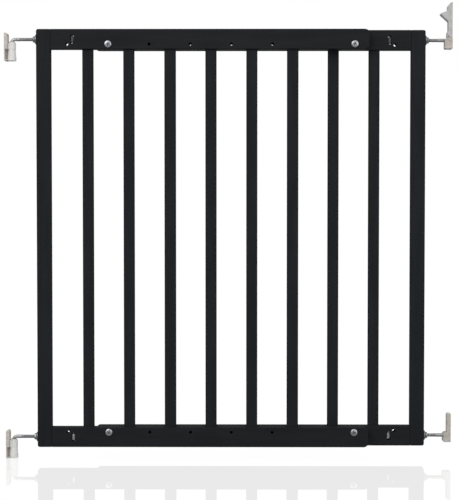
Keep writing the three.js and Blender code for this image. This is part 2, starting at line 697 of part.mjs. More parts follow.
// The pin's channel: open upwards and towards the gate, round at the bottom.
function pinChannel(top) {
  const half = CHANNEL_WIDTH / 2;
  const reach = LATCH_REACH + CUT_OVERRUN;
  const slot = block([LATCH_FLOOR, -half, 0], [reach, half, top + CUT_OVERRUN]);
  return joined(slot, levelBore(half, LATCH_FLOOR, reach, 0, ROUND_SIDES));
}

function lowerClosingCupGeometry() {
  const slopeStart = LOWER_PLATE_THICKNESS + LOWER_SLIT;
  const wallTop = LOWER_WALL_HEIGHT + LOWER_WALL_RISE;
  const outline = new THREE.Shape();
  outline.moveTo(0, -LOWER_PLATE_BOTTOM);
  outline.lineTo(LATCH_REACH - FOOT_ROUND, -LOWER_PLATE_BOTTOM);
  outline.absarc(LATCH_REACH - FOOT_ROUND, FOOT_ROUND - LOWER_PLATE_BOTTOM, FOOT_ROUND, -Math.PI / 2, 0);
  outline.lineTo(LATCH_REACH, LOWER_WALL_HEIGHT);
  outline.lineTo(slopeStart, wallTop);
  outline.lineTo(slopeStart, wallTop - LOWER_SLIT);
  outline.lineTo(LOWER_PLATE_THICKNESS, wallTop - LOWER_SLIT);
  outline.lineTo(LOWER_PLATE_THICKNESS, LOWER_PLATE_TOP - LOWER_PLATE_ROUND);
  outline.absarc(
    LOWER_PLATE_THICKNESS - LOWER_PLATE_ROUND,
    LOWER_PLATE_TOP - LOWER_PLATE_ROUND,
    LOWER_PLATE_ROUND,
    0,
    Math.PI / 2,
  );
  outline.lineTo(0, LOWER_PLATE_TOP);
  const body = solidFrom(board(outline, LATCH_WIDTH));
  const screwHoles = [0, 1].map((k) =>
    wallScrewHole(0, LOWER_SCREW_FIRST + k * LOWER_SCREW_PITCH, LOWER_PLATE_THICKNESS),
  );
  return geometryFrom(cut(body, pinChannel(wallTop), ...screwHoles));
}

function upperClosingCupGeometry() {
  const outline = new THREE.Shape();
  outline.moveTo(0, -UPPER_BASE_BOTTOM);
  outline.lineTo(LATCH_REACH - FOOT_ROUND, -UPPER_BASE_BOTTOM);
  outline.absarc(LATCH_REACH - FOOT_ROUND, FOOT_ROUND - UPPER_BASE_BOTTOM, FOOT_ROUND, -Math.PI / 2, 0);
  outline.lineTo(LATCH_REACH, UPPER_WALL_HEIGHT);
  outline.lineTo(SLIDER_NOSE_DEPTH, UPPER_BASE_TOP);
  outline.lineTo(0, UPPER_BASE_TOP);
  const base = solidFrom(board(outline, LATCH_WIDTH));
  const runnerFoot = UPPER_BASE_TOP - JOIN_OVERLAP;
  const web = block(
    [0, -RUNNER_WEB_WIDTH / 2, runnerFoot],
    [RUNNER_WEB_DEPTH + JOIN_OVERLAP, RUNNER_WEB_WIDTH / 2, RUNNER_TOP],
  );
  const flange = block(
    [RUNNER_WEB_DEPTH, -RUNNER_FLANGE_WIDTH / 2, runnerFoot],
    [RUNNER_DEPTH, RUNNER_FLANGE_WIDTH / 2, RUNNER_TOP],
  );
  const screwHoles = [0, 1].map((k) =>
    wallScrewHole(0, RUNNER_SCREW_FIRST + k * RUNNER_SCREW_PITCH, RUNNER_DEPTH),
  );
  return geometryFrom(cut(joined(base, web, flange), pinChannel(UPPER_BASE_TOP), ...screwHoles));
}

// The lock slider rides on the runner and its nose bars the pin's way up.
function lockSliderGeometry() {
  const back = CLEARANCE;
  const outline = new THREE.Shape();
  outline.moveTo(back, SLIDER_FOOT);
  outline.lineTo(SLIDER_NOSE_DEPTH, SLIDER_FOOT);
  outline.lineTo(SLIDER_NOSE_DEPTH, SLIDER_NOSE_TOP - NOSE_SLOPE / 2);
  outline.lineTo(SLIDER_DEPTH, SLIDER_NOSE_TOP + NOSE_SLOPE / 2);
  outline.lineTo(SLIDER_DEPTH, TAB_BOTTOM);
  outline.lineTo(TAB_REACH - TAB_TIP_RADIUS, TAB_HEIGHT - TAB_TIP_RADIUS);
  outline.absarc(TAB_REACH - TAB_TIP_RADIUS, TAB_HEIGHT, TAB_TIP_RADIUS, -Math.PI / 4, Math.PI / 2.4);
  outline.lineTo(HEAD_DEPTH, TAB_TOP);
  outline.lineTo(HEAD_DEPTH, HEAD_SHOULDER);
  outline.lineTo(SLIDER_TIP_DEPTH, SLIDER_TOP);
  outline.lineTo(back, SLIDER_TOP);
  const grooveFoot = SLIDER_FOOT - CUT_OVERRUN;
  const grooveTop = RUNNER_TOP + CLEARANCE;
  const webGroove = block(
    [-CUT_OVERRUN, -RUNNER_WEB_WIDTH / 2 - CLEARANCE, grooveFoot],
    [RUNNER_DEPTH, RUNNER_WEB_WIDTH / 2 + CLEARANCE, grooveTop],
  );
  const flangeGroove = block(
    [RUNNER_WEB_DEPTH - CLEARANCE, -RUNNER_FLANGE_WIDTH / 2 - CLEARANCE, grooveFoot],
    [RUNNER_DEPTH + CLEARANCE, RUNNER_FLANGE_WIDTH / 2 + CLEARANCE, grooveTop],
  );
  const holeReach = LATCH_WIDTH / 2 + CUT_OVERRUN;
  const hole = alongY(cylinder(NOSE_HOLE_RADIUS, -holeReach, holeReach, HOLE_SIDES));
  hole.translate(NOSE_HOLE_DEPTH, 0, NOSE_HOLE_HEIGHT);
  const body = solidFrom(board(outline, LATCH_WIDTH));
  return geometryFrom(cut(body, webGroove, flangeGroove, solidFrom(hole)));
}

function hingeFittings() {
  const group = new THREE.Group();
  for (const [level, z] of [['lower', LOWER_AXIS_Z], ['upper', UPPER_AXIS_Z]]) {
    group.add(piece(`hinge_cup_${level}`, hingeCupGeometry(), finishes.fitting, [0, 0, z]));
    group.add(piece(`hinge_bush_${level}`, hingeBushGeometry(), finishes.bush, [HINGE_AXIS, 0, z]));
  }
  return group;
}

function closingFittings() {
  const group = new THREE.Group();
  group.position.set(CLOSING_WALL_X, HALF_STEP, 0);
  group.rotation.z = Math.PI;
  group.add(piece('closing_cup_lower', lowerClosingCupGeometry(), finishes.fitting, [0, 0, LOWER_AXIS_Z]));
  group.add(piece('closing_cup_upper', upperClosingCupGeometry(), finishes.fitting, [0, 0, UPPER_AXIS_Z]));
  group.add(piece('lock_slider', lockSliderGeometry(), finishes.slider, [0, 0, UPPER_AXIS_Z]));
  return group;
}

// ---------------------------------------------------------------- the gate

const gate = new THREE.Group();

const frontHalf = halfFrame('front');
frontHalf.position.set(HINGE_GAP, 0, FRAME_BOTTOM_Z);
gate.add(frontHalf);

const rearHalf = halfFrame('rear');
rearHalf.position.set(HINGE_GAP + FRAME_LENGTH, HALF_STEP, FRAME_BOTTOM_Z);
rearHalf.rotation.z = Math.PI;
gate.add(rearHalf);

gate.add(connectors(), pins(), hingeFittings(), closingFittings());

export default gate;
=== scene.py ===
"""Looks of an extending wooden safety gate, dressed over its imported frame.

Two lacquered half frames are bolted through each other. They hang on two bent screw pins in cups on one
wall and close on two straight pins in cups on the other. Sizes inside the classes are millimetres, in each
sub-assembly's own axes. Finished meshes are metres in the frame's axes: X along the gate, Y to the rear,
Z up.
"""

import json
import logging
import math
import random
from collections.abc import Callable, Iterable, Sequence
from dataclasses import dataclass, field
from enum import Enum
from typing import Any

import bmesh
import bpy
from mathutils import Matrix, Vector

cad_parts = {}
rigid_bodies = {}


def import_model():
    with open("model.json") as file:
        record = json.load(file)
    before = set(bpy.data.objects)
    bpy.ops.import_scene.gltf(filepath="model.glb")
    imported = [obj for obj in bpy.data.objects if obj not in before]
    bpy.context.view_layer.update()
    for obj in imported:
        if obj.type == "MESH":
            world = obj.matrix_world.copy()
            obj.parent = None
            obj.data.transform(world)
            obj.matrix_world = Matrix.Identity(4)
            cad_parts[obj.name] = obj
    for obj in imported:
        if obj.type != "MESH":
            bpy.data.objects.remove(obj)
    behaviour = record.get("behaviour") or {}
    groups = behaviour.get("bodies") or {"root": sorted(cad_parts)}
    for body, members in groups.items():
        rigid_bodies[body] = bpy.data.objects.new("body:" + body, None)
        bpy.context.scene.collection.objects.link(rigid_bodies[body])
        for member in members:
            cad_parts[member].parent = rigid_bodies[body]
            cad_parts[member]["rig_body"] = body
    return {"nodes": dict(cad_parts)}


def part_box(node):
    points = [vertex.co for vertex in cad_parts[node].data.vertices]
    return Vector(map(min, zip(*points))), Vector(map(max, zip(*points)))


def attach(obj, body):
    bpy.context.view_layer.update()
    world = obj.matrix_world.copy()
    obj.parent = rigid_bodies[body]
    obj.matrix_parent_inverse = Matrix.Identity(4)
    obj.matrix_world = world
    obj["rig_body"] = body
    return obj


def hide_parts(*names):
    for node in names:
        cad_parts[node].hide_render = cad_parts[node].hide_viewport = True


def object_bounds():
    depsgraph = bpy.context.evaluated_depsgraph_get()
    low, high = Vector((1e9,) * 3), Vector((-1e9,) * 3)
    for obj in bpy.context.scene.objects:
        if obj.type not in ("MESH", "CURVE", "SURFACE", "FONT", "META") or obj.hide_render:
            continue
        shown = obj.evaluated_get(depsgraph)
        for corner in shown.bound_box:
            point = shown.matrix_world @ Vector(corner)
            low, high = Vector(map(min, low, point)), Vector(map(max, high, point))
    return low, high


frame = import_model()
cad_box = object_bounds()

log = logging.getLogger("gate")

MM = 0.001
SHARP_ANGLE = math.radians(34)  # edges that turn more than this stay sharp
FACE_WEIGHT = 80  # how strongly large faces rule the shading of the soft edges beside them
OVERRUN = 1.0  # how far a cutting body reaches past the face it opens
HAIRLINE = 0.02  # keeps faces of two bodies that join out of one plane
STRAIGHT = 1e-3  # a corner that turns or folds by less than this, in radians, isn't rounded
TIGHTEST_MITRE = 0.2  # keeps a sharp corner of an inset outline from running off

Point = tuple[float, float]
Corner = tuple[float, float, float]  # x, z and radius
Ring = list[Vector]

QUARTER = math.pi / 2
ALONG_X = Matrix.Rotation(QUARTER, 4, "Y")
ALONG_Y = Matrix.Rotation(-QUARTER, 4, "X")
HALF_TURN = Matrix.Rotation(math.pi, 4, "Z")


# ---------------------------------------------------------------- outlines


def corner_arc(before: Vector, corner: Vector, after: Vector, radius: float, steps: int) -> list[Point]:
    """Rounds one corner of an outline.

    Args:
        before: The corner before it.
        corner: The corner itself.
        after: The corner after it.
        radius: Radius of the rounding, or 0 to keep the corner.
        steps: Straight steps in the arc.

    Returns:
        The points that stand in for the corner.
    """
    back = (before - corner).normalized()
    ahead = (after - corner).normalized()
    half = back.angle(ahead) / 2
    if radius <= 0 or half < STRAIGHT or half > QUARTER - STRAIGHT:
        return [tuple(corner)]
    reach = radius / math.tan(half)
    centre = corner + (back + ahead).normalized() * (radius / math.sin(half))
    start = corner + back * reach - centre
    end = corner + ahead * reach - centre
    sweep = start.angle_signed(end)
    arc = []
    for k in range(steps + 1):
        turn = -sweep * k / steps
        cos, sin = math.cos(turn), math.sin(turn)
        arc.append((centre.x + start.x * cos - start.y * sin, centre.y + start.x * sin + start.y * cos))
    return arc


def rounded(corners: Sequence[Corner], steps: int = 5, closed: bool = True) -> list[Point]:
    """Rounds the corners of an outline or of an open profile.

    Args:
        corners: The x, z and radius of each corner.
        steps: Straight steps in each arc.
        closed: Whether the last corner leads back to the first.

    Returns:
        The outline's points. An open profile keeps its first and last corner as they are.
    """
    places = [Vector(corner[:2]) for corner in corners]
    count = len(places)
    points: list[Point] = []
    for k, (_, _, radius) in enumerate(corners):
        if not closed and k in (0, count - 1):
            points.append(tuple(places[k]))
        else:
            points += corner_arc(places[k - 1], places[k], places[(k + 1) % count], radius, steps)
    return points


def rectangle(low: Point, high: Point, radii: Sequence[float], steps: int = 6) -> list[Point]:
    """Gives a rectangle with its own radius at each corner.

    Args:
        low: Lowest corner.
        high: Highest corner.
        radii: Radii from the lowest corner anticlockwise.
        steps: Straight steps in each arc.

    Returns:
        The outline's points, anticlockwise.
    """
    places = [low, (high[0], low[1]), high, (low[0], high[1])]
    return rounded([(*place, radius) for place, radius in zip(places, radii)], steps)


def inset(outline: Sequence[Point], distance: float) -> list[Point]:
    """Moves an anticlockwise outline inwards.

    Args:
        outline: The outline's points.
        distance: How far it moves in. A negative distance moves it out.

    Returns:
        The moved points, one for each.
    """
    moved = []
    for k, (x, z) in enumerate(outline):
        before, after = outline[k - 1], outline[(k + 1) % len(outline)]
        one = Vector((x - before[0], z - before[1])).normalized().orthogonal()
        two = Vector((after[0] - x, after[1] - z)).normalized().orthogonal()
        step = (one + two) * (distance / max(1 + one.dot(two), TIGHTEST_MITRE))
        moved.append((x + step.x, z + step.y))
    return moved


# ---------------------------------------------------------------- solids


class Solid:
    """A closed mesh in millimetres that other solids join or cut."""

    def __init__(self, mesh: bpy.types.Mesh) -> None:
        """Keeps a mesh."""
        self.mesh = mesh

    @classmethod
    def lofted(cls, rings: Sequence[Ring], loop: bool = False) -> "Solid":
        """Joins rings of equal length with four-sided faces.

        Args:
            rings: The rings in order.
            loop: Whether the last ring joins the first. Otherwise both ends are closed flat.

        Returns:
            The solid, with its faces turned outwards.
        """
        count = len(rings[0])
        vertices = [point for ring in rings for point in ring]
        pairs = [(k, k + 1) for k in range(len(rings) - 1)]
        if loop:
            pairs.append((len(rings) - 1, 0))
        faces: list[Sequence[int]] = []
        for low, high in pairs:
            for k in range(count):
                ahead = (k + 1) % count
                faces.append((low * count + k, low * count + ahead, high * count + ahead, high * count + k))
        if not loop:
            faces.append(range(count - 1, -1, -1))
            faces.append(range((len(rings) - 1) * count, len(rings) * count))
        mesh = bpy.data.meshes.new("solid")
        mesh.from_pydata(vertices, [], faces)
        edit = bmesh.new()
        edit.from_mesh(mesh)
        bmesh.ops.recalc_face_normals(edit, faces=edit.faces)
        edit.to_mesh(mesh)
        edit.free()
        return cls(mesh)

    @classmethod
    def slab(cls, outline: Sequence[Point], depth: float, edge: float = 0.0, steps: int = 4) -> "Solid":
        """Gives an outline in X and Z a depth along Y, centred on Y = 0, with rounded edges.

        Args:
            outline: The outline, anticlockwise.
            depth: Size along Y.
            edge: Radius of the rounding. A negative one flares the ends outwards instead.
            steps: Straight steps in the rounding.

        Returns:
            The slab.
        """
        size = abs(edge)
        stations = []
        for k in range(steps + 1 if edge else 1):
            turn = QUARTER * k / steps
            stations.append((edge * (1 - math.sin(turn)), -depth / 2 + size * (1 - math.cos(turn))))
        stations += [(inwards, -y) for inwards, y in reversed(stations)]
        rings = []
        for inwards, y in stations:
            rings.append([Vector((x, y, z)) for x, z in inset(outline, inwards)])
        return cls.lofted(rings)

    @classmethod
    def turned(
        cls,
        profile: Sequence[Point],
        sides: int = 48,
        loop: bool = False,
        shape: Callable[[float, float, float], float] | None = None,
    ) -> "Solid":
        """Turns a profile about Z.

        Args:
            profile: Radius and height of each ring.
            sides: Points in each ring.
            loop: Whether the profile closes on itself, as round a bore.
            shape: Gives the radius from the profile's radius, its height and the angle.

        Returns:
            The turned solid.
        """
        rings = []
        for radius, height in profile:
            ring = []
            for k in range(sides):
                angle = 2 * math.pi * k / sides
                reach = shape(radius, height, angle) if shape else radius
                ring.append(Vector((reach * math.cos(angle), reach * math.sin(angle), height)))
            rings.append(ring)
        return cls.lofted(rings, loop)

    @classmethod
    def cylinder(cls, radius: float, start: float, end: float, sides: int = 40) -> "Solid":
        """Gives a plain cylinder along Z."""
        return cls.turned([(radius, start), (radius, end)], sides)

    @classmethod
    def block(cls, low: Sequence[float], high: Sequence[float]) -> "Solid":
        """Gives a box between two corners."""
        corners = [(low[0], low[2]), (high[0], low[2]), (high[0], high[2]), (low[0], high[2])]
        return cls.slab(corners, high[1] - low[1]).placed(Matrix.Translation((0, (low[1] + high[1]) / 2, 0)))

    def placed(self, *moves: Matrix) -> "Solid":
        """Moves the solid.

        Args:
            moves: The matrices that move it, in turn.

        Returns:
            The solid itself.
        """
        for move in moves:
            self.mesh.transform(move)
        return self

    def shifted(self, x: float = 0.0, y: float = 0.0, z: float = 0.0) -> "Solid":
        """Moves the solid along the axes, and gives it back."""
        return self.placed(Matrix.Translation((x, y, z)))

    def marked(self, name: str, test: Callable[[Vector], bool]) -> "Solid":
        """Writes a vertex attribute that is 1 where a test holds, and 0 elsewhere.

        Args:
            name: The attribute's name.
            test: The test on a vertex's place.

        Returns:
            The solid itself.
        """
        layer = self.mesh.attributes.new(name, "FLOAT", "POINT")
        for vertex, mark in zip(self.mesh.vertices, layer.data):
            mark.value = float(test(vertex.co))
        return self

    def combined(self, operation: str, others: Iterable["Solid"]) -> "Solid":
        """Joins or cuts with other solids.

        Args:
            operation: UNION or DIFFERENCE.
            others: The other solids, which are used up.

        Returns:
            A new solid.
        """
        links = bpy.context.scene.collection.objects
        target = bpy.data.objects.new("target", self.mesh)
        links.link(target)
        tools = []
        for other in others:
            tool = bpy.data.objects.new("tool", other.mesh)
            links.link(tool)
            tools.append(tool)
            step = target.modifiers.new("step", "BOOLEAN")
            step.operation = operation
            step.solver = "MANIFOLD"
            step.object = tool
        graph = bpy.context.evaluated_depsgraph_get()
        mesh = bpy.data.meshes.new_from_object(target.evaluated_get(graph))
        for thing in [target, *tools]:
            used = thing.data
            bpy.data.objects.remove(thing)
            bpy.data.meshes.remove(used)
        return Solid(mesh)

    def joined(self, *others: "Solid") -> "Solid":
        """Joins other solids to this one."""
        return self.combined("UNION", others)

    def cut(self, *tools: "Solid") -> "Solid":
        """Cuts this solid by others."""
        return self.combined("DIFFERENCE", tools)


def bore(
    radius: float, start: float, end: float, flare: float = 0.0, steps: int = 4, sides: int = 40
) -> Solid:
    """Makes the tool of a round hole along Z.

    Args:
        radius: Radius of the hole.
        start: Face that the hole starts at.
        end: Face that it ends at.
        flare: Radius of the soft rim at both faces, or 0 to run past them plain.
        steps: Straight steps in each rim.
        sides: Points round the hole.

    Returns:
        The tool, a little longer than the hole.
    """
    if not flare:
        return Solid.cylinder(radius, start - OVERRUN, end + OVERRUN, sides)
    rim = [(radius + flare, -OVERRUN)]
    for k in range(steps + 1):
        turn = QUARTER * k / steps
        rim.append((radius + flare * (1 - math.sin(turn)), flare * (1 - math.cos(turn))))
    profile = [(reach, start + depth) for reach, depth in rim]
    profile += [(reach, end - depth) for reach, depth in reversed(rim)]
    return Solid.turned(profile, sides)


def swept(path: Sequence[tuple[Vector, Vector]], radius: Callable[[int, float], float], sides: int) -> Solid:
    """Runs a round section along a path that stays in the X and Z plane.

    Args:
        path: Each station's place and direction.
        radius: Gives the radius from a station's number and the angle round it.
        sides: Points in each ring.

    Returns:
        The rod.
    """
    rings = []
    level = Vector((0, 1, 0))
    for k, (place, direction) in enumerate(path):
        across = direction.cross(level).normalized()
        ring = []
        for n in range(sides):
            angle = 2 * math.pi * n / sides
            ring.append(place + (across * math.cos(angle) + level * math.sin(angle)) * radius(k, angle))
        rings.append(ring)
    return Solid.lofted(rings)


# ---------------------------------------------------------------- shader sockets


class Socket:
    """A node's output on which Python's operators add Math nodes."""

    def __init__(self, shader: "Shader", output: bpy.types.NodeSocket) -> None:
        """Keeps the output and the shader it belongs to."""
        self.shader = shader
        self.output = output

    def _math(self, operation: str, first: Any, second: Any) -> "Socket":
        """Adds one Math node."""
        return self.shader.node("ShaderNodeMath", {"operation": operation}, {0: first, 1: second})

    def __add__(self, other: Any) -> "Socket":
        """Adds a value or socket."""
        return self._math("ADD", self, other)

    def __radd__(self, other: Any) -> "Socket":
        """Adds to a value."""
        return self._math("ADD", other, self)

    def __sub__(self, other: Any) -> "Socket":
        """Takes a value or socket away."""
        return self._math("SUBTRACT", self, other)

    def __rsub__(self, other: Any) -> "Socket":
        """Takes this from a value."""
        return self._math("SUBTRACT", other, self)

    def __mul__(self, other: Any) -> "Socket":
        """Multiplies by a value or socket."""
        return self._math("MULTIPLY", self, other)

    def __rmul__(self, other: Any) -> "Socket":
        """Multiplies a value."""
        return self._math("MULTIPLY", other, self)

    def __or__(self, other: Any) -> "Socket":
        """Gives the larger of this and a value or socket."""
        return self._math("MAXIMUM", self, other)


class Shader:
    """The node tree of one material or of the world, and the nodes it is given."""

    def __init__(self, owner: bpy.types.Material | bpy.types.World) -> None:
        """Empties the owner's node tree.

        Args:
            owner: The material or world.
        """
        owner.use_nodes = True
        self.tree = owner.node_tree
        self.tree.nodes.clear()

    def node(
        self,
        kind: str,
        settings: dict[str, Any] | None = None,
        inputs: dict[int | str, Any] | None = None,
        output: int | str = 0,
    ) -> Socket:
        """Adds a node.

        Args:
            kind: The node's type.
            settings: Its own settings, which are set first.
            inputs: Values or sockets by input number or name.
            output: Which output to give back.

        Returns:
            The chosen output.
        """
        made = self.tree.nodes.new(kind)
        for name, setting in (settings or {}).items():
            setattr(made, name, setting)
        for key, value in (inputs or {}).items():
            entry = made.inputs[key]
            if isinstance(value, Socket):
                self.tree.links.new(value.output, entry)
            elif isinstance(value, tuple) and entry.type == "RGBA":
                entry.default_value = (*value, 1.0)
            else:
                entry.default_value = value
        return Socket(self, made.outputs[output] if len(made.outputs) else None)

    def place(self) -> Socket:
        """Gives a point's place on its piece, in metres."""
        return self.node("ShaderNodeTexCoord", None, None, "Object")

    def attribute(self, name: str, output: str) -> Socket:
        """Gives an attribute of the mesh, as a Vector or a Fac."""
        return self.node("ShaderNodeAttribute", {"attribute_name": name}, None, output)

    def along(self, vector: Socket, axis: str) -> Socket:
        """Gives a vector's X, Y or Z."""
        return self.node("ShaderNodeSeparateXYZ", None, {0: vector}, axis)

    def blend(self, factor: Any, first: Any, second: Any) -> Socket:
        """Mixes two colours by a factor."""
        return self.node("ShaderNodeMix", {"data_type": "RGBA"}, {0: factor, 6: first, 7: second}, 2)

    def noise(self, place: Socket, stretch: Sequence[float], detail: float = 2.0) -> Socket:
        """Gives noise between 0 and 1.

        Args:
            place: Coordinates in metres.
            stretch: How many features there are to a metre along each coordinate.
            detail: Octaves.

        Returns:
            The noise value.
        """
        settings = {"operation": "MULTIPLY"}
        scaled = self.node("ShaderNodeVectorMath", settings, {0: place, 1: tuple(stretch)})
        return self.node("ShaderNodeTexNoise", None, {"Vector": scaled, "Scale": 1.0, "Detail": detail})

    def window(self, value: Socket, low: float, high: float) -> Socket:
        """Maps a value from between low and high to between 0 and 1, softly."""
        settings = {"interpolation_type": "SMOOTHSTEP"}
        return self.node("ShaderNodeMapRange", settings, {0: value, 1: low, 2: high})

    def bump(self, height: Socket, distance: float) -> Socket:
        """Makes a normal from a height between 0 and 1 that stands for a distance in metres."""
        return self.node("ShaderNodeBump", None, {"Strength": 1.0, "Distance": distance, "Height": height})

    def surface(self, inputs: dict[int | str, Any]) -> None:
        """Ends the tree with a Principled surface."""
        skin = self.node("ShaderNodeBsdfPrincipled", None, inputs)
        self.node("ShaderNodeOutputMaterial", None, {"Surface": skin})


# ---------------------------------------------------------------- finishes

Colour = tuple[float, float, float]
Stretch = tuple[float, float, float]  # features to a metre along X, Y and Z
Window = tuple[float, float]  # where a soft step starts and where it is full
GRAIN = "grain"  # vertex attribute: the wood's own coordinates, in metres, X along the grain
INNER = "inner"  # vertex attribute: 1 down in a hole, a slot or a recess


@dataclass(frozen=True)
class Pattern:
    """Noise, and the window that it is seen through where only its peaks count."""

    stretch: Stretch
    detail: float
    low: float = 0.0
    high: float = 0.0

    def on(self, shader: Shader, place: Socket) -> Socket:
        """Lays the pattern over a surface.

        Args:
            shader: The material's node tree.
            place: The surface's coordinates, in metres.

        Returns:
            A value between 0 and 1.
        """
        noise = shader.noise(place, self.stretch, self.detail)
        return shader.window(noise, self.low, self.high) if self.high else noise


@dataclass(frozen=True)
class Lacquer:
    """Satin black lacquer over beech, with the grain showing faintly through."""

    name: str = "black_lacquer"
    deep: Colour = (0.0068, 0.0082, 0.0107)
    worn: Colour = (0.0122, 0.0138, 0.0170)
    tones: Window = (0.34, 0.68)
    gloss: float = 0.56
    gloss_swing: float = 0.12
    pore_matt: float = 0.08
    bare: float = 0.95  # roughness inside holes and slots
    sheen: float = 0.2
    relief: float = 0.00011
    figure: Pattern = Pattern((7, 60, 60), 4)
    streaks: Pattern = Pattern((16, 420, 420), 3)
    pores: Pattern = Pattern((95, 1500, 1500), 2, 0.58, 0.74)
    peel: Pattern = Pattern((620, 620, 620), 1)
    cloud: Pattern = Pattern((22, 22, 22), 3)

    def apply(self, shader: Shader) -> None:
        """Builds the nodes.

        Args:
            shader: The material's node tree.
        """
        place = shader.attribute(GRAIN, "Vector")
        inner = shader.attribute(INNER, "Fac")
        figure = self.figure.on(shader, place)
        pores = self.pores.on(shader, place)
        streaks = self.streaks.on(shader, place)
        peel = self.peel.on(shader, place)
        cloud = self.cloud.on(shader, place)
        tone = shader.window(figure * 0.5 + streaks * 0.3 + cloud * 0.2, *self.tones)
        finish = self.gloss + self.gloss_swing * (streaks * 0.5 + cloud * 0.5) + pores * self.pore_matt
        shader.surface(
            {
                "Base Color": shader.blend(tone, self.deep, self.worn),
                "Roughness": finish * (1 - inner) + inner * self.bare,
                "Specular IOR Level": self.sheen,
                "Normal": shader.bump(streaks * 0.45 + peel * 0.3 - pores * 0.5, self.relief),
            }
        )


@dataclass(frozen=True)
class BareBeech:
    """Turned beech with fine flecks along the grain."""

    name: str = "bare_beech"
    pale: Colour = (0.62, 0.42, 0.24)
    dark: Colour = (0.45, 0.27, 0.13)
    gloss: float = 0.62
    grain_matt: float = 0.1
    relief: float = 0.0001
    grain: Pattern = Pattern((25, 500, 500), 3)
    flecks: Pattern = Pattern((260, 1900, 1900), 1, 0.62, 0.75)

    def apply(self, shader: Shader) -> None:
        """Builds the nodes.

        Args:
            shader: The material's node tree.
        """
        place = shader.place()
        grain = self.grain.on(shader, place)
        flecks = self.flecks.on(shader, place)
        shader.surface(
            {
                "Base Color": shader.blend(grain * 0.7 + flecks * 0.5, self.pale, self.dark),
                "Roughness": self.gloss + grain * self.grain_matt,
                "Normal": shader.bump(grain, self.relief),
            }
        )


@dataclass(frozen=True)
class Zinc:
    """Zinc-plated steel with a cloudy passivated tint and fine tool marks."""

    name: str
    cold: Colour
    warm: Colour
    gloss: float
    gloss_swing: float
    marks: Pattern  # left by the tools
    relief: float = 0.00003
    speck_tone: Colour = (0.2, 0.2, 0.2)
    speck_share: float = 0.35
    speck_matt: float = 0.12
    # Painted shade: the colour goes dark, and rougher, down on a screw head's recess floor.
    recess_shade_tone: Colour = (0.02, 0.02, 0.02)
    recess_shade_share: float = 0.6  # share of the painted shade down in a recess
    recess_matt: float = 0.3
    tints: Window = (0.36, 0.66)
    cloud: Pattern = Pattern((160, 160, 160), 4)
    speck: Pattern = Pattern((900, 900, 900), 2, 0.6, 0.72)

    def apply(self, shader: Shader) -> None:
        """Builds the nodes.

        Args:
            shader: The material's node tree.
        """
        place = shader.place()
        cloud = self.cloud.on(shader, place)
        speck = self.speck.on(shader, place)
        marks = self.marks.on(shader, place)
        tint = shader.window(cloud, *self.tints)
        inner = shader.attribute(INNER, "Fac")
        clean = shader.blend(tint, self.cold, self.warm)
        plate = shader.blend(speck * self.speck_share, clean, self.speck_tone)
        swing = self.gloss_swing * (0.6 * cloud + 0.4 * marks)
        shader.surface(
            {
                # painted shade darkens the zinc down in a recess
                "Base Color": shader.blend(inner * self.recess_shade_share, plate, self.recess_shade_tone),
                "Metallic": 1.0,
                "Roughness": self.gloss + swing + speck * self.speck_matt + inner * self.recess_matt,
                "Normal": shader.bump(marks * 0.7 + speck * 0.3, self.relief),
            }
        )


@dataclass(frozen=True)
class Moulding:
    """Moulded nylon: a soft mottle under a spark-eroded skin."""

    name: str
    pale: Colour
    deep: Colour
    gloss: float
    skin: float  # height of the skin's texture, in metres
    stipple: Pattern  # of the skin
    glow: float  # share of light that scatters inside
    paler_share: float = 0.0  # how far the tone goes towards a paler one out past the wall plate
    paler_tone: Colour = (0.9, 0.9, 0.87)
    out: Window = (0.006, 0.0072)  # from the wall plate's face out into the cup, in metres along X
    tones: Window = (0.36, 0.64)
    pits: Window = (0.35, 0.6)
    mottle_matt: float = 0.12
    scatter: Colour = (1.0, 0.8, 0.55)
    scatter_depth: float = 0.0015
    mottle: Pattern = Pattern((140, 140, 140), 4)
    flow: Pattern = Pattern((45, 45, 160), 2)

    def apply(self, shader: Shader) -> None:
        """Builds the nodes.

        Args:
            shader: The material's node tree.
        """
        place = shader.place()
        mottle = self.mottle.on(shader, place)
        flow = self.flow.on(shader, place)
        stipple = self.stipple.on(shader, place)
        tone = shader.window(0.6 * mottle + 0.4 * flow, *self.tones)
        pitted = shader.window(stipple, *self.pits)
        out = shader.window(shader.along(place, "X"), *self.out)
        own = shader.blend(0.82 * tone + 0.18 * (1 - pitted), self.pale, self.deep)
        shader.surface(
            {
                "Base Color": shader.blend(out * self.paler_share, own, self.paler_tone),
                "Roughness": self.gloss + self.mottle_matt * mottle,
                "Subsurface Weight": self.glow,
                "Subsurface Radius": self.scatter,
                "Subsurface Scale": self.scatter_depth,
                "Normal": shader.bump(stipple * 0.8 + mottle * 0.2, self.skin),
            }
        )


class Slot(Enum):
    """The record's material slots."""

    LACQUER = "black_lacquer"
    ZINC = "zinc_plate"
    IVORY = "ivory_plastic"
    WHITE = "white_plastic"
    GREY = "grey_plastic"


# Tool marks on the steel, and the skins of the mouldings.
ROLLED = Pattern((5000, 500, 500), 2)
TURNED = Pattern((2500, 300, 300), 2)
SAWN = Pattern((300, 300, 2500), 2)
PRESSED = Pattern((700, 60, 700), 2)
FINE_SKIN = Pattern((1300, 1300, 1300), 2)
COARSE_SKIN = Pattern((1100, 1100, 1100), 2)


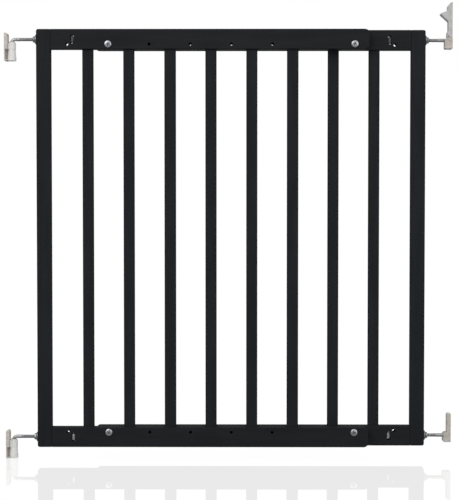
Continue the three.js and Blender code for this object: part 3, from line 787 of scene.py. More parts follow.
class Finish(Enum):
    """Every finish on the gate."""

    LACQUER = Lacquer()
    BEECH = BareBeech()
    ROD = Zinc("zinc_rod", (0.46, 0.47, 0.50), (0.56, 0.555, 0.54), 0.26, 0.16, ROLLED)
    NUT = Zinc("zinc_nut", (0.33, 0.34, 0.38), (0.42, 0.42, 0.42), 0.24, 0.16, TURNED)
    # A dark copy of the zinc: painted shade for the upper slot nuts.
    INNER = Zinc("zinc_painted_shade", (0.10, 0.10, 0.11), (0.15, 0.15, 0.15), 0.3, 0.16, SAWN)
    BRIGHT = Zinc("zinc_bright", (0.46, 0.49, 0.53), (0.60, 0.62, 0.63), 0.22, 0.2, PRESSED)
    CUP = Moulding("cup_nylon", (0.64, 0.61, 0.57), (0.53, 0.50, 0.45), 0.40, 0.00006, FINE_SKIN, 0.2, 0.75)
    IVORY = Moulding("ivory_nylon", (0.58, 0.555, 0.51), (0.46, 0.425, 0.37), 0.40, 0.00006, FINE_SKIN, 0.2)
    WHITE = Moulding("white_nylon", (0.78, 0.77, 0.73), (0.70, 0.68, 0.63), 0.34, 0.00003, FINE_SKIN, 0.2)
    GREY = Moulding("grey_plastic", (0.56, 0.56, 0.55), (0.43, 0.43, 0.42), 0.46, 0.00012, COARSE_SKIN, 0.0)


class Palette:
    """Makes each finish's material once."""

    def __init__(self) -> None:
        """Starts with no material made."""
        self._made: dict[Finish, bpy.types.Material] = {}

    def material(self, finish: Finish) -> bpy.types.Material:
        """Gives the material of a finish.

        Args:
            finish: The finish.

        Returns:
            Its material, made when it is first asked for.
        """
        if finish not in self._made:
            material = bpy.data.materials.new(finish.value.name)
            finish.value.apply(Shader(material))
            self._made[finish] = material
        return self._made[finish]


# ---------------------------------------------------------------- placing


@dataclass(frozen=True)
class Place:
    """A sub-assembly's own axes: millimetres from an origin, and perhaps turned half round."""

    origin: Vector
    turned: bool = False

    @property
    def matrix(self) -> Matrix:
        """Carries a point from these axes to the frame's."""
        turn = HALF_TURN if self.turned else Matrix.Identity(4)
        return Matrix.Translation(self.origin) @ turn @ Matrix.Scale(MM, 4)

    def box(self, node: str) -> tuple[Vector, Vector]:
        """Gives the lowest and highest corner of a node in these axes.

        Args:
            node: The node's name.

        Returns:
            The two corners, in millimetres.
        """
        back = self.matrix.inverted()
        ends = [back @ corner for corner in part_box(node)]
        return Vector(map(min, *ends)), Vector(map(max, *ends))

    def centre(self, node: str) -> Vector:
        """Gives the middle of a node's box in these axes."""
        low, high = self.box(node)
        return (low + high) / 2


WHOLE_GATE = Place(Vector())
LOG_REACH = 5.0  # boards are cut from anywhere within this many metres of the grain's start


class Grain(Enum):
    """Which of a sub-assembly's axes run along the grain and across it."""

    LEVEL = (0, 1, 2)
    UPRIGHT = (2, 1, 0)


@dataclass
class Fitter:
    """Turns solids into finished pieces that stand for their nodes."""

    palette: Palette = field(default_factory=Palette)
    fitted: int = 0

    def fit(
        self,
        node: str,
        solid: Solid,
        place: Place,
        finish: Finish,
        slot: Slot,
        grain: Grain | None = None,
    ) -> None:
        """Finishes one piece.

        Args:
            node: The node that the piece stands for.
            solid: Its shape.
            place: The axes that the shape is drawn in.
            finish: Its finish.
            slot: The record's material slot. It is not used.
            grain: Which way its grain runs, for wood.
        """
        mesh = solid.mesh
        if grain:
            self._mark_grain(mesh, grain, random.Random(node))
        mesh.transform(place.matrix)
        mesh.materials.clear()
        mesh.materials.append(self.palette.material(finish))
        mesh.shade_smooth()
        mesh.set_sharp_from_angle(angle=SHARP_ANGLE)
        mesh.name = f"{node}.mesh"
        piece = bpy.data.objects.new(f"{node}.finished", mesh)
        bpy.context.scene.collection.objects.link(piece)
        normals = piece.modifiers.new("normals", "WEIGHTED_NORMAL")
        normals.keep_sharp = True
        normals.weight = FACE_WEIGHT
        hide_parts(node)
        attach(piece, frame["nodes"][node]["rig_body"])
        self.fitted += 1
        log.info("%s: %d faces", piece.name, len(mesh.polygons))

    def dress(self, node: str, finish: Finish) -> None:
        """Gives a node that keeps its own shape a better material.

        Args:
            node: The node.
            finish: Its finish.
        """
        own = frame["nodes"][node]
        own.data.materials.clear()
        own.data.materials.append(self.palette.material(finish))
        self.fitted += 1
        log.info("%s keeps its shape", node)

    @staticmethod
    def _mark_grain(mesh: bpy.types.Mesh, grain: Grain, chance: random.Random) -> None:
        """Writes each vertex's place in the wood.

        Args:
            mesh: The board's mesh.
            grain: Which way its grain runs.
            chance: Draws where in the wood the board was cut.
        """
        start = [chance.uniform(-LOG_REACH, LOG_REACH) for _ in range(3)]
        layer = mesh.attributes.new(GRAIN, "FLOAT_VECTOR", "POINT")
        for vertex, mark in zip(mesh.vertices, layer.data):
            mark.vector = [vertex.co[axis] * MM + start[k] for k, axis in enumerate(grain.value)]


# ---------------------------------------------------------------- half frames

RAILS = ("bottom", "top")
THREAD_BORE = 3.15  # radius inside the nuts of the screw pins


@dataclass
class HalfFrame:
    """One half of the gate: a stile, two rails, six bars, their dowels, and the nuts of two screw pins.

    Its own axes start at the foot of the stile's outer face, with X towards the free ends of the rails.
    """

    prefix: str
    turned: bool
    fitter: Fitter
    board_corner: float = 3.5
    board_edge: float = 1.2
    rail_end: float = 8.0
    joint_corner: float = 1.2
    corner_steps: int = 8
    edge_steps: int = 5
    wall_start: float = 0.4  # below a face, where the wall of a hole starts
    wall_border: float = 1.0  # inside the rounded edges, where no hole comes
    bar_edge: float = 2.2
    bar_count: int = 6
    mortise_gap: float = 0.12
    hole_radius: float = 2.55
    hole_rim: float = 0.45
    holes_between: int = 6  # setting holes, each half a pitch before a bar
    last_hole_step: int = 7  # and one more, which leaves a step out past the last bar
    slot_height: float = 15.0
    slot_width: float = 5.6
    slot_rim: float = 0.5
    slot_rim_rise: float = 0.1  # of the rim's tool over each face
    slot_end_share: float = 0.98  # how nearly the slot's ends are full half rounds
    nut_corner: float = 1.6
    nut_edge: float = 0.8
    nut_mouth: float = 0.4
    pin_bore: float = 3.4
    dowel_gap: float = 0.3
    place: Place = field(init=False)

    def __post_init__(self) -> None:
        """Finds the half's own axes from its stile."""
        low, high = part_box(f"{self.prefix}_stile")
        side = high.x if self.turned else low.x
        self.place = Place(Vector((side, (low.y + high.y) / 2, low.z)), self.turned)

    def build(self) -> None:
        """Makes every piece of the half."""
        self._stile()
        for level in RAILS:
            self._rail(level)
            self._slot_nut(level)
            self._flange_nut(level)
            for end in ("low", "high"):
                self.fitter.dress(f"{self.prefix}_{level}_dowel_{end}", Finish.BEECH)
        for k in range(1, self.bar_count + 1):
            self._bar(k)

    def _fit_board(self, node: str, solid: Solid, grain: Grain) -> None:
        """Finishes a lacquered board, with the walls of its holes and slots marked.

        Args:
            node: The node that the board stands for.
            solid: Its shape.
            grain: Which way its grain runs.
        """
        low, high = self.place.box(node)
        edge = self.board_edge + self.wall_border
        border = Vector((edge, self.wall_start, edge))
        low, high = low + border, high - border
        solid.marked(INNER, lambda place: all(low[k] < place[k] < high[k] for k in range(3)))
        self.fitter.fit(node, solid, self.place, Finish.LACQUER, Slot.LACQUER, grain)

    def _dowel_holes(self, level: str) -> list[Solid]:
        """Makes the tools of the two dowel holes at one joint.

        Args:
            level: The joint's rail, bottom or top.

        Returns:
            The tools.
        """
        tools = []
        for end in ("low", "high"):
            low, high = self.place.box(f"{self.prefix}_{level}_dowel_{end}")
            radius = (high.z - low.z) / 2 + self.dowel_gap
            tool = Solid.cylinder(radius, low.x - self.dowel_gap, high.x + self.dowel_gap, sides=24)
            tools.append(tool.placed(ALONG_X).shifted(z=(low.z + high.z) / 2))
        return tools

    def _pin_height(self, level: str) -> float:
        """Gives the height of a screw pin's axis."""
        return self.place.centre(f"{self.prefix}_{level}_slot_nut").z

    def _stile(self) -> None:
        """Makes the upright board."""
        node = f"{self.prefix}_stile"
        low, high = self.place.box(node)
        radii = [self.board_corner, self.joint_corner, self.joint_corner, self.board_corner]
        outline = rectangle((low.x, low.z), (high.x, high.z), radii, self.corner_steps)
        board = Solid.slab(outline, high.y - low.y, self.board_edge, self.edge_steps)
        tools = self._dowel_holes("bottom") + self._dowel_holes("top")
        for level in RAILS:
            hole = bore(self.pin_bore, low.x, high.x, self.hole_rim)
            tools.append(hole.placed(ALONG_X).shifted(z=self._pin_height(level)))
        self._fit_board(node, board.cut(*tools), Grain.UPRIGHT)

    def _rail(self, level: str) -> None:
        """Makes one level board with its bores, slot, holes and mortises.

        It is drawn on past its joint and cut square there, so that its butt stays square.

        Args:
            level: Which rail, bottom or top.
        """
        node = f"{self.prefix}_{level}_rail"
        low, high = self.place.box(node)
        radii = [self.joint_corner, self.rail_end, self.rail_end, self.joint_corner]
        start = low.x - 2 * self.board_edge
        outline = rectangle((start, low.z), (high.x, high.z), radii, self.corner_steps)
        depth = high.y - low.y
        board = Solid.slab(outline, depth, self.board_edge, self.edge_steps)
        past = (start - OVERRUN, low.y - OVERRUN, low.z - OVERRUN)
        tools = [Solid.block(past, (low.x, high.y + OVERRUN, high.z + OVERRUN))]
        tools += self._dowel_holes(level)
        tools += [self._pin_bore(level, low.x), self._slot(level, depth)]
        tools += self._connector_holes(level, depth)
        tools += [self._mortise(k) for k in range(1, self.bar_count + 1)]
        self._fit_board(node, board.cut(*tools), Grain.LEVEL)

    def _pin_bore(self, level: str, start: float) -> Solid:
        """Makes the tool of the long bore that a screw pin runs in.

        Args:
            level: Which rail it is in.
            start: Where the rail starts.

        Returns:
            The tool.
        """
        end = self.place.box(f"{self.prefix}_bar_1")[0].x
        tool = Solid.cylinder(self.pin_bore, start - OVERRUN, end, sides=28)
        return tool.placed(ALONG_X).shifted(z=self._pin_height(level))

    def _slot(self, level: str, depth: float) -> Solid:
        """Makes the tool of the slot that shows the nut.

        Args:
            level: Which rail it is in.
            depth: The rail's thickness.

        Returns:
            The tool.
        """
        middle = self.place.centre(f"{self.prefix}_{level}_slot_nut")
        wide, high = self.slot_width / 2, self.slot_height / 2
        low_corner = (middle.x - wide, middle.z - high)
        high_corner = (middle.x + wide, middle.z + high)
        outline = rectangle(low_corner, high_corner, [wide * self.slot_end_share] * 4, self.corner_steps)
        straight = Solid.slab(outline, depth + 2 * OVERRUN)
        return straight.joined(Solid.slab(outline, depth + 2 * self.slot_rim_rise, -self.slot_rim))

    def _connector_holes(self, level: str, depth: float) -> list[Solid]:
        """Makes the tools of the row of setting holes.

        Args:
            level: Which rail they are in.
            depth: The rail's thickness.

        Returns:
            The tools.
        """
        first = self.place.centre(f"{self.prefix}_bar_1").x
        pitch = self.place.centre(f"{self.prefix}_bar_2").x - first
        height = self.place.centre(f"connector_screw_{level}_hinge_side").z
        tools = []
        for step in [*range(self.holes_between), self.last_hole_step]:
            tool = bore(self.hole_radius, -depth / 2, depth / 2, self.hole_rim)
            tools.append(tool.placed(ALONG_Y).shifted(first + (step - 0.5) * pitch, 0, height))
        return tools

    def _bar_section(self, k: int, growth: float) -> Solid:
        """Gives a bar, or the tool of its mortises.

        Args:
            k: The bar's number.
            growth: How much larger than the bar its section and length are on every side.

        Returns:
            The solid.
        """
        low, high = self.place.box(f"{self.prefix}_bar_{k}")
        reach = Vector((growth, growth, growth))
        low, high = low - reach, high + reach
        section = rectangle((low.x, low.y), (high.x, high.y), [self.bar_edge + growth] * 4, self.edge_steps)
        rings = [[Vector((x, y, z)) for x, y in section] for z in (low.z, high.z)]
        return Solid.lofted(rings)

    def _mortise(self, k: int) -> Solid:
        """Makes the tool of a bar's mortises, with a gap all round."""
        return self._bar_section(k, self.mortise_gap)

    def _bar(self, k: int) -> None:
        """Makes one flat bar with rounded long edges."""
        self._fit_board(f"{self.prefix}_bar_{k}", self._bar_section(k, 0.0), Grain.UPRIGHT)

    def _slot_nut(self, level: str) -> None:
        """Makes the steel block that a screw pin turns in.

        Args:
            level: Which rail it is in. The same nut takes bright zinc in the lower rail and dark zinc in the
                upper: painted light on the lower nut, painted shade on the upper.
        """
        node = f"{self.prefix}_{level}_slot_nut"
        low, high = self.place.box(node)
        middle = (low + high) / 2
        outline = rectangle((low.x, low.z), (high.x, high.z), [self.nut_corner] * 4, steps=5)
        block = Solid.slab(outline, high.y - low.y, self.nut_edge)
        hole = bore(THREAD_BORE, low.x, high.x, self.nut_mouth, steps=3, sides=32)
        hole.placed(ALONG_X).shifted(0, middle.y, middle.z)
        # Painted light and shade: lit zinc for the lower nut, shaded zinc for the upper.
        finish = Finish.BRIGHT if level == "bottom" else Finish.INNER
        self.fitter.fit(node, block.cut(hole), self.place, finish, Slot.ZINC)

    def _flange_nut(self, level: str) -> None:
        """Makes the hexagon nut that locks a screw pin against the stile.

        Args:
            level: Which rail's pin it is on.
        """
        node = f"{self.prefix}_{level}_flange_nut"
        low, high = self.place.box(node)
        middle = (low + high) / 2
        nut = FlangeNut(radius=(high.z - low.z) / 2, length=high.x - low.x).solid()
        nut.placed(Matrix.Rotation(math.pi, 4, "X"), ALONG_X).shifted(high.x, middle.y, middle.z)
        self.fitter.fit(node, nut, self.place, Finish.NUT, Slot.ZINC)


@dataclass
class FlangeNut:
    """A flanged hexagon nut that stands on Z = 0 with its crown up."""

    radius: float
    length: float
    across_flats: float = 10.0
    across_corners: float = 11.25  # with its corners turned off
    rim: float = 1.35
    rim_round: float = 0.4
    rim_levels: tuple[float, ...] = (0.0, 0.12, 0.27, 0.4, 1.2, 1.35)
    cone: float = 2.1
    crown_drop: float = 0.25  # from the flats in to the top face's edge
    crown_slope: float = 1.6
    crown_steps: int = 22
    mouth: float = 0.6
    sides: int = 84

    def _outside(self, height: float, angle: float) -> float:
        """Puts flange, flats and crown chamfer together.

        Args:
            height: Height over the seat.
            angle: Angle round the axis.

        Returns:
            The outer radius there.
        """
        flat = (angle + math.pi / 6) % (math.pi / 3) - math.pi / 6
        hexagon = min(self.across_flats / 2 / math.cos(flat), self.across_corners / 2)
        slope = (self.radius - self.across_flats / 2) / self.cone
        flange = self.radius - max(height - self.rim, 0) * slope
        if height < self.rim_round:
            flange -= self.rim_round - math.sqrt(self.rim_round**2 - (self.rim_round - height) ** 2)
        crown = self.across_flats / 2 - self.crown_drop + (self.length - height) * self.crown_slope
        return min(max(hexagon, flange), crown)

    def solid(self) -> Solid:
        """Makes the nut, ring by ring up its outside and back down its bore.

        Returns:
            The nut.
        """
        rise = (self.length - self.rim) / self.crown_steps
        outside = [*self.rim_levels, *(self.rim + rise * (k + 1) for k in range(self.crown_steps))]
        inside = [
            (THREAD_BORE + self.mouth, self.length),
            (THREAD_BORE, self.length - self.mouth),
            (THREAD_BORE, self.mouth),
            (THREAD_BORE + self.mouth, 0.0),
        ]
        levels = outside + [height for _, height in inside]

        def radius(ring: float, height: float, angle: float) -> float:
            """Gives the outside's shape for the first rings and the bore's for the rest."""
            inner = round(ring) - len(outside)
            return self._outside(height, angle) if inner < 0 else inside[inner][0]

        return Solid.turned(list(enumerate(levels)), self.sides, loop=True, shape=radius)


# ---------------------------------------------------------------- connectors


@dataclass
class Connectors:
    """Four pan-head screws from the front and the sleeve nuts they enter from the rear."""

    fitter: Fitter
    head_height: float = 2.6
    head_rim: float = 1.0
    head_break: float = 0.25  # chamfer at the seat
    crown_steps: int = 9
    crown_rise_power: float = 0.8  # these two flatten the crown from a ball to a pan
    crown_reach_power: float = 0.75
    screw_radius: float = 1.6
    tip_chamfer: float = 0.5
    thread_from_tip: float = 0.8
    plain_shank: float = 2.0  # at both ends of the thread together
    thread_pitch: float = 0.7
    thread_depth: float = 0.35
    sleeve_radius: float = 2.45
    sleeve_wall: float = 0.55
    sleeve_break: float = 0.2
    recess_width: float = 1.35
    recess_span: float = 6.2
    recess_depth: float = 2.2
    recess_lip: float = 0.2
    recess_mouth: float = 1.18  # size above the lip and at the floor, as shares of the size at the lip
    recess_taper: float = 0.62
    recess_floor: float = 0.1  # how near its floor counts as the floor
    sides: int = 36

    def build(self) -> None:
        """Makes all eight pieces."""
        for level in RAILS:
            for side in ("hinge_side", "closing_side"):
                self._screw(f"connector_screw_{level}_{side}")
                self._sleeve(f"connector_sleeve_{level}_{side}")

    def _head(self, radius: float) -> list[Point]:
        """Gives the profile of a pan head that stands on Z = 0 and faces down.

        Args:
            radius: The head's radius.

        Returns:
            The profile.
        """
        profile = [(radius - self.head_break, 0.0), (radius, -self.head_break), (radius, -self.head_rim)]
        for k in range(1, self.crown_steps + 1):
            turn = QUARTER * k / (self.crown_steps + 1)
            rise = (self.head_height - self.head_rim) * math.sin(turn) ** self.crown_rise_power
            reach = radius * math.cos(turn) ** self.crown_reach_power
            profile.append((reach, -self.head_rim - rise))
        return profile

    def _recess(self, node: str) -> Solid:
        """Makes the tool of a head's cross recess, turned as chance has it for the node.

        Args:
            node: The connector's node.

        Returns:
            The tool, which narrows towards its floor.
        """
        start = random.Random(node).uniform(0, QUARTER)
        rings = []
        stages = (
            (self.recess_mouth, -OVERRUN),
            (1.0, self.recess_lip),
            (self.recess_taper, self.recess_depth),
        )
        for share, depth in stages:
            span, width = self.recess_span / 2 * share, self.recess_width / 4 * (1 + share)
            ring = []
            for quarter in range(4):
                turn = Matrix.Rotation(start + quarter * QUARTER, 4, "Z")
                for x, y in ((span, -width), (span, width), (width, width)):
                    ring.append(turn @ Vector((x, y, depth - self.head_height)))
            rings.append(ring)
        return Solid.lofted(rings)

    def _finish(self, node: str, solid: Solid, turned: bool) -> None:
        """Lays a connector along Y and puts its head where its node has it.

        Args:
            node: The connector's node.
            solid: Its shape, along Z.
            turned: Whether its head is at the rear.
        """
        low, high = WHOLE_GATE.box(node)
        floor = self.recess_depth - self.head_height
        # Marks the recess floor, where the zinc is painted dark as shade.
        solid.marked(INNER, lambda place: abs(place.z - floor) < self.recess_floor)
        solid.placed(ALONG_Y)
        if turned:
            solid.placed(HALF_TURN)
        seat = high.y - self.head_height if turned else low.y + self.head_height
        solid.shifted((low.x + high.x) / 2, seat, (low.z + high.z) / 2)
        self.fitter.fit(node, solid, WHOLE_GATE, Finish.BRIGHT, Slot.ZINC)

    def _shape(self, node: str) -> tuple[float, list[Point]]:
        """Gives the length of a connector under its head, and its head's profile."""
        low, high = WHOLE_GATE.box(node)
        return high.y - low.y - self.head_height, self._head((high.z - low.z) / 2)

    def _screw(self, node: str) -> None:
        """Makes a screw with a threaded shank.

        Args:
            node: Its node.
        """
        length, head = self._shape(node)
        radius = self.screw_radius
        shank = [(radius - self.tip_chamfer, length), (radius, length - self.tip_chamfer)]
        for k in range(int((length - self.plain_shank) / self.thread_pitch)):
            crest = length - self.thread_from_tip - k * self.thread_pitch
            shank.append((radius, crest))
            shank.append((radius - self.thread_depth, crest - self.thread_pitch / 2))
        shank.append((radius, 0.0))
        body = Solid.turned([*shank, *head], self.sides)
        self._finish(node, body.cut(self._recess(node)), turned=False)

    def _sleeve(self, node: str) -> None:
        """Makes a sleeve nut with a head like the screw's.

        Args:
            node: Its node.
        """
        length, head = self._shape(node)
        outer, rim = self.sleeve_radius, self.sleeve_break
        body = Solid.turned([(outer - rim, length), (outer, length - rim), (outer, 0.0), *head], self.sides)
        hole = Solid.cylinder(outer - self.sleeve_wall, 0.0, length + OVERRUN, sides=28)
        self._finish(node, body.cut(hole, self._recess(node)), turned=True)


# ---------------------------------------------------------------- screw pins


@dataclass
class ScrewPins:
    """The bent pins that the gate hangs on and the straight ones that close it."""

    fitter: Fitter
    pitch: float = 1.0
    depth: float = 0.5
    rings_per_turn: int = 8
    sides: int = 30
    bend_radius: float = 6.5
    bend_steps: int = 14
    plain_from_axis: float = 13.5
    plain_at_tip: float = 17.0
    thread_past_nut: float = 12.0
    crest_share: float = 0.12  # of half a pitch that is flat at the crest, and at the root
    chamfer: float = 0.8
    leg_end: float = 6.0  # from the last plain ring of the leg up to the bend

    def build(self) -> None:
        """Makes the four pins."""
        for level in ("lower", "upper"):
            self._hinge_pin(level)
            self._closing_pin(level)

    def _rod(
        self,
        path: list[tuple[Vector, Vector]],
        reach: list[float],
        radius: float,
        thread: tuple[float, float],
    ) -> Solid:
        """Sweeps a rod that is threaded on one stretch and chamfered at both ends.

        Args:
            path: Each station's place and direction.
            reach: Each station's distance along the rod.
            radius: Radius over the thread.
            thread: Where the thread starts and ends.

        Returns:
            The rod.
        """
        start, end = thread
        last = len(path) - 1

        def size(k: int, angle: float) -> float:
            """Cuts the thread, which runs out at both ends.

            Args:
                k: The station's number.
                angle: The angle round the rod.

            Returns:
                The rod's radius there.
            """
            along = reach[k]
            if k in (0, last):
                return radius - self.chamfer
            if not start < along < end:
                return radius
            run_out = min((along - start) / self.pitch, (end - along) / self.pitch, 1.0)
            phase = (along / self.pitch - angle / (2 * math.pi)) % 1.0
            flank = (abs(2 * phase - 1) - self.crest_share) / (1 - 2 * self.crest_share)
            return radius - self.depth * min(max(flank, 0.0), 1.0) * run_out

        return swept(path, size, self.sides)

    def _stations(self, low: float, high: float) -> list[float]:
        """Gives closely spaced distances for a threaded stretch.

        Args:
            low: Where it starts.
            high: Where it ends.

        Returns:
            The distances.
        """
        count = max(int((high - low) / self.pitch * self.rings_per_turn), 2)
        return [low + (high - low) * k / count for k in range(count + 1)]

    def _hinge_pin(self, level: str) -> None:
        """Makes a pin with its leg bent down into the hinge cup.

        Args:
            level: Which one, lower or upper.
        """
        node = f"hinge_pin_{level}"
        low, high = WHOLE_GATE.box(node)
        nut = WHOLE_GATE.box("front_bottom_flange_nut")[1].x
        radius = (high.y - low.y) / 2
        middle, axis_x, axis_z = (low.y + high.y) / 2, low.x + radius, high.z - radius
        centre = Vector((axis_x + self.bend_radius, middle, axis_z - self.bend_radius))
        leg = (low.z, low.z + self.chamfer, centre.z - self.leg_end)
        path = [(Vector((axis_x, middle, z)), Vector((0, 0, 1))) for z in leg]
        for k in range(self.bend_steps + 1):
            turn = QUARTER * k / self.bend_steps
            offset = Vector((-math.cos(turn), 0, math.sin(turn))) * self.bend_radius
            path.append((centre + offset, Vector((math.sin(turn), 0, math.cos(turn)))))
        plain_end = axis_x + self.plain_from_axis
        thread_end = nut + self.thread_past_nut
        xs = self._stations(plain_end, thread_end) + [high.x - self.chamfer, high.x]
        path += [(Vector((x, middle, axis_z)), Vector((1, 0, 0))) for x in xs]
        reach = [0.0]
        for (one, _), (two, _) in zip(path, path[1:]):
            reach.append(reach[-1] + (two - one).length)
        first = reach[len(path) - len(xs)]
        rod = self._rod(path, reach, radius, (first, first + thread_end - plain_end))
        self.fitter.fit(node, rod, WHOLE_GATE, Finish.ROD, Slot.ZINC)

    def _closing_pin(self, level: str) -> None:
        """Makes a straight pin with a plain tip.

        Args:
            level: Which one, lower or upper.
        """
        node = f"closing_pin_{level}"
        low, high = WHOLE_GATE.box(node)
        nut = WHOLE_GATE.box("rear_bottom_flange_nut")[0].x
        radius = (high.y - low.y) / 2
        middle, axis_z = (low.y + high.y) / 2, (low.z + high.z) / 2
        thread = (nut - self.thread_past_nut, high.x - self.plain_at_tip)
        xs = [low.x, low.x + self.chamfer, *self._stations(*thread), high.x - self.chamfer, high.x]
        path = [(Vector((x, middle, axis_z)), Vector((1, 0, 0))) for x in xs]
        rod = self._rod(path, xs, radius, thread)
        self.fitter.fit(node, rod, WHOLE_GATE, Finish.ROD, Slot.ZINC)


# ---------------------------------------------------------------- wall fittings
# Their own axes start where the pin's axis meets the wall, with X out of the wall.


@dataclass(frozen=True)
class WallScrewHole:
    """A countersunk hole for a wall screw."""

    shank: float = 2.25
    head: float = 3.9
    brow: float = 0.25  # how far the tool widens over the plate
    brow_rise: float = 0.05

    def tool(self, y: float, z: float, thickness: float) -> Solid:
        """Makes the hole's tool.

        Args:
            y: Its place across the plate.
            z: Its height.
            thickness: The plate's thickness.

        Returns:
            The tool.
        """
        neck = thickness - (self.head - self.shank)
        profile = [
            (self.shank, -OVERRUN),
            (self.shank, neck),
            (self.head, thickness),
            (self.head + self.brow, thickness + self.brow_rise),
            (self.head + self.brow, thickness + OVERRUN),
        ]
        return Solid.turned(profile, sides=36).placed(ALONG_X).shifted(0, y, z)


@dataclass
class HingeFitting:
    """A wall plate with the cup that a bent pin stands in, and the bush in the cup."""

    level: str
    fitter: Fitter
    plate_top: float = 10.7
    plate_thick: float = 5.6
    plate_round: float = 2.4
    plate_edge: float = 0.55
    plate_foot: float = 0.9
    plate_inside: float = 0.7
    plate_back: float = 1.0
    skin: float = 1.9
    shelf: float = 2.4
    shelf_round: float = 0.4
    rib: float = 2.4
    rib_edge: float = 0.3
    axis: float = 11.9
    cup_radius: float = 7.2
    foot_radius: float = 8.0
    foot_round: float = 0.7
    foot_draft: float = 0.1
    cup_top: float = -5.8
    collar_depth: float = 11.3
    collar_step: float = 0.4
    collar_slope: float = 0.1  # above and below the step's middle
    collar_round: float = 0.15
    cup_bore: float = 5.0
    cup_round: float = 0.9
    cup_lip: float = 0.6  # how far the bore opens at the top
    lip_depth: float = 0.5
    lip_over: float = 0.1  # how far the slope of its tool runs on over the top
    lip_width: float = 0.7
    foot_hollow: float = 1.2  # from the foot's edge in to where its profile ends
    cup_joint: float = 0.5  # how far pieces of one moulding run into each other
    cup_floor: float = 3.4
    bridge_width: float = 13.0
    bridge_edge: float = 0.5
    flute: float = 6.1
    screw_offset: float = 6.2
    screw_rise: float = 3.5
    bush_bore: float = 3.25
    bush_wall: float = 1.4
    bush_foot: float = 0.3
    bush_hollow: float = 0.1
    bush_edge: float = 0.2
    bush_crown: float = 0.5
    flange_height: float = 1.2
    countersink: float = 1.0

    def build(self) -> None:
        """Makes the cup and its bush."""
        node = f"hinge_cup_{self.level}"
        low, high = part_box(node)
        origin = Vector((low.x, (low.y + high.y) / 2, high.z - self.plate_top * MM))
        place = Place(origin)
        low, high = place.box(node)
        cup = self._cup(low.z, high.y - low.y)
        self.fitter.fit(node, cup, place, Finish.CUP, Slot.IVORY)
        self._bush(place)

    @property
    def _collar_base(self) -> float:
        """Gives the height of the collar's lower edge."""
        return self.cup_top - self.collar_depth

    def _plate(self, bottom: float, width: float) -> Solid:
        """Makes the wall plate, thin behind the cup.

        Args:
            bottom: Height of its lower edge.
            width: Its width.

        Returns:
            The plate.
        """
        thick, inside = self.plate_thick, self.plate_inside
        corners = [
            (0, bottom, self.plate_foot),
            (thick, bottom, self.plate_foot),
            (thick, bottom + self.shelf, inside),
            (self.skin, bottom + self.shelf, inside),
            (self.skin, self._collar_base, inside),
            (thick, self._collar_base, inside),
            (thick, self.plate_top, self.plate_round),
            (0, self.plate_top, self.plate_back),
        ]
        return Solid.slab(rounded(corners), width, self.plate_edge)

    def _holders(self, bottom: float) -> list[Solid]:
        """Makes the bridge behind the collar and the rib under it.

        Args:
            bottom: Height of the plate's lower edge.

        Returns:
            The two.
        """
        base, into = self._collar_base, self.cup_joint
        foot, top = base + HAIRLINE, self.cup_top - into
        bridge = rectangle((self.plate_thick - into, foot), (self.axis, top), [0] * 4)
        foot, top = bottom + self.shelf - into, base + into
        rib = rectangle((self.skin - into, foot), (self.axis, top), [0] * 4)
        return [
            Solid.slab(bridge, self.bridge_width, self.bridge_edge),
            Solid.slab(rib, self.rib, self.rib_edge),
        ]

    def _cup(self, bottom: float, width: float) -> Solid:
        """Makes the plate and cup as one moulding.

        Args:
            bottom: Height of their lower edge.
            width: The plate's width.

        Returns:
            The moulding.
        """
        base = self._collar_base
        profile = [
            (self.foot_radius - self.foot_hollow, bottom, 0),
            (self.foot_radius, bottom, self.foot_round),
            (self.foot_radius - self.foot_draft, bottom + self.shelf, self.shelf_round),
            (self.cup_radius - self.collar_step, base - self.collar_slope, self.collar_round),
            (self.cup_radius, base + self.collar_slope, self.collar_round),
            (self.cup_radius, self.cup_top, self.cup_round),
            (self.cup_bore + self.lip_width, self.cup_top, 0),
        ]
        cup = Solid.turned(rounded(profile, steps=4, closed=False), sides=64).shifted(self.axis)
        hole = [
            (self.cup_bore, bottom + self.cup_floor),
            (self.cup_bore, self.cup_top - self.lip_depth),
            (self.cup_bore + self.cup_lip, self.cup_top + self.lip_over),
            (self.cup_bore + self.cup_lip, self.cup_top + OVERRUN),
        ]
        mouth = Solid.turned(hole).shifted(self.axis)
        start, end = self.cup_top + HAIRLINE / 2, self.plate_top + OVERRUN
        flute = Solid.cylinder(self.flute, start, end, sides=48).shifted(self.axis)
        screws = WallScrewHole()
        holes = [screws.tool(side * self.screw_offset, self.screw_rise, self.plate_thick) for side in (-1, 1)]
        body = self._plate(bottom, width).joined(*self._holders(bottom), cup)
        return body.cut(mouth, flute, *holes)

    def _bush(self, place: Place) -> None:
        """Makes the flanged bush that turns with the pin.

        Args:
            place: The fitting's own axes.
        """
        node = f"hinge_bush_{self.level}"
        low, high = place.box(node)
        middle = (low + high) / 2
        flange = (high.y - low.y) / 2
        outer = self.bush_bore + self.bush_wall
        base = high.z - self.flange_height
        corners = [
            (self.bush_bore, low.z, 0),
            (outer, low.z, self.bush_foot),
            (outer, base, self.bush_hollow),
            (flange, base, self.bush_edge),
            (flange, high.z, self.bush_crown),
            (self.bush_bore + self.countersink, high.z, self.bush_edge),
            (self.bush_bore, high.z - self.countersink, self.bush_edge),
        ]
        bush = Solid.turned(rounded(corners, steps=3), loop=True).shifted(middle.x, middle.y)
        self.fitter.fit(node, bush, place, Finish.WHITE, Slot.WHITE)


